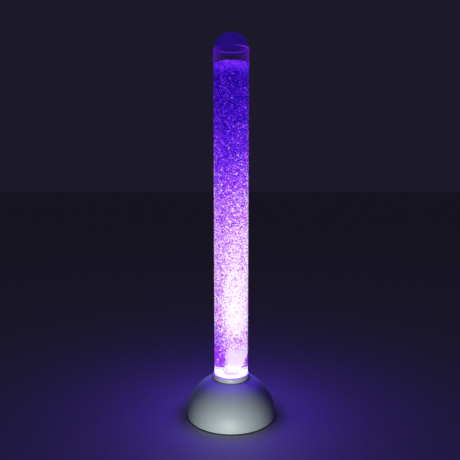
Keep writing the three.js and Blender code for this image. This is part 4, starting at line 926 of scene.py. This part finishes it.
def tumbled(balls, tilt, spin):
    """Points of balls, each ball tipped about Y and then turned about Z by its own angles."""
    tilt, spin = tilt[:, None], spin[:, None]
    x, y, z = balls[..., 0], balls[..., 1], balls[..., 2]
    tipped_x = x * np.cos(tilt) + z * np.sin(tilt)
    tipped_z = z * np.cos(tilt) - x * np.sin(tilt)
    spun_x = tipped_x * np.cos(spin) - y * np.sin(spin)
    spun_y = tipped_x * np.sin(spin) + y * np.cos(spin)
    return np.stack([spun_x, spun_y, tipped_z], 2)


def bubble_cloud(name, low, high, count):
    """Many bubbles between two heights as one piece, each with its own size, lie and spark."""
    places = bubble_places(low, high, count)
    size = np.clip(dice.lognormal(math.log(bubble_size), size_spread, count), least_size, most_size)
    wide = size * dice.uniform(*width_range, count)
    flat = np.stack([wide, size, size * dice.uniform(*flatness_range, count)], 1)
    tilt = dice.normal(0, tilt_spread, count)
    spin = dice.uniform(0, 2 * math.pi, count)
    balls = tumbled(ball_points[None] * flat[:, None], tilt, spin)
    points = (places[:, None] + balls).reshape(-1, 3)
    faces = ball_faces[None] + (np.arange(count) * len(ball_points))[:, None, None]
    rise = np.maximum(places[:, 2] - stone_high.z, 0)
    to_the_right = np.clip((places[:, 0] - floor_glow_left) / floor_glow_edge, 0, 1)
    lit_by_floor = np.clip(1 - rise / floor_glow_height, 0, 1) * to_the_right
    glitter = lit_by_floor + dice.beta(dim_weight, bright_weight, count)
    sparks = np.repeat(glitter, len(ball_points))
    return swarm_part(name, points, faces.reshape(-1, 3).tolist(), "spark", sparks, bubble)


clouds = [
    bubble_cloud("bubbles_low", low_start, low_end, low_count),
    bubble_cloud("bubbles_middle", low_end, middle_end, middle_count),
    bubble_cloud("bubbles_high", middle_end, high_end, high_count),
]


# Glow of the column: the lit water shines violet on the crown of the base and on the floor.
# Two soft lights inside it do that, so the column's parts throw neither a shadow nor light of their own.
glow_colour = (0.12, 0.02, 1.0)
glow_radius = 0.035
foot_glow_height, foot_glow_power = 0.15, 0.76
column_glow_height, column_glow_power = 0.45, 0.8
for piece in (tube_piece, water_piece, plug_piece, heart, *clouds):
    piece.visible_shadow = False
    piece.visible_diffuse = False


def glow(name, height, power):
    """A soft light on the column's axis."""
    unseen(light("POINT", name, (0, 0, height), (0, 0, 0), power, glow_colour, shadow_soft_size=glow_radius))


glow("foot_glow", foot_glow_height, foot_glow_power)
glow("column_glow", column_glow_height, column_glow_power)


# Dome cap: a thin clear moulding that drops into the tube's rim and lifts off.
# A film of mist on its inside catches the violet light from below.
cap_low, cap_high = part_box("top_cap")
cap_foot = tube_high.z + slip
flange_thickness = 0.0024
flange_top = cap_foot + flange_thickness
dome_foot_radius = 0.0376
cap_wall = 0.0022
cap_rise = cap_high.z - flange_top
cap_steps = 16
plug_fit = tube_bore - slip
skirt_wall = 0.002


def cap_arch(radius, rise):
    """The dome's outline from the top of the flange up to its apex."""
    turn = [math.pi / 2 * k / cap_steps for k in range(cap_steps)]
    side = [(radius * math.cos(a), flange_top + rise * math.sin(a)) for a in turn]
    return [*side, (0, flange_top + rise)]


misty = Finish("misted_clear_cap", Transmission_Weight=1.0, IOR=1.25, Roughness=0.03, Emission_Strength=1.0)
misty.wear(Base_Color=misty.mix(misty.grain(35.0, 4.0), (0.55, 0.4, 0.95), (0.8, 0.7, 1.0)))
mist = misty.grain(45.0, 4.0)
misty.wear(Emission_Color=misty.mix(mist, (0.0020, 0.0002, 0.026), (0.0050, 0.0005, 0.056)))
cap_shape = turned([
    *cap_arch(dome_foot_radius - cap_wall, cap_rise - cap_wall)[::-1],
    (plug_fit - skirt_wall, cap_foot),
    (plug_fit - skirt_wall, cap_low.z),
    (plug_fit, cap_low.z, 0.0004),
    (plug_fit, cap_foot),
    (cap_high.x, cap_foot, 0.0004),
    (cap_high.x, flange_top, 0.0006),
    *cap_arch(dome_foot_radius, cap_rise),
], round_sides, closed=False)
made("cap_dome", cap_shape, misty, "top_cap", "cap")
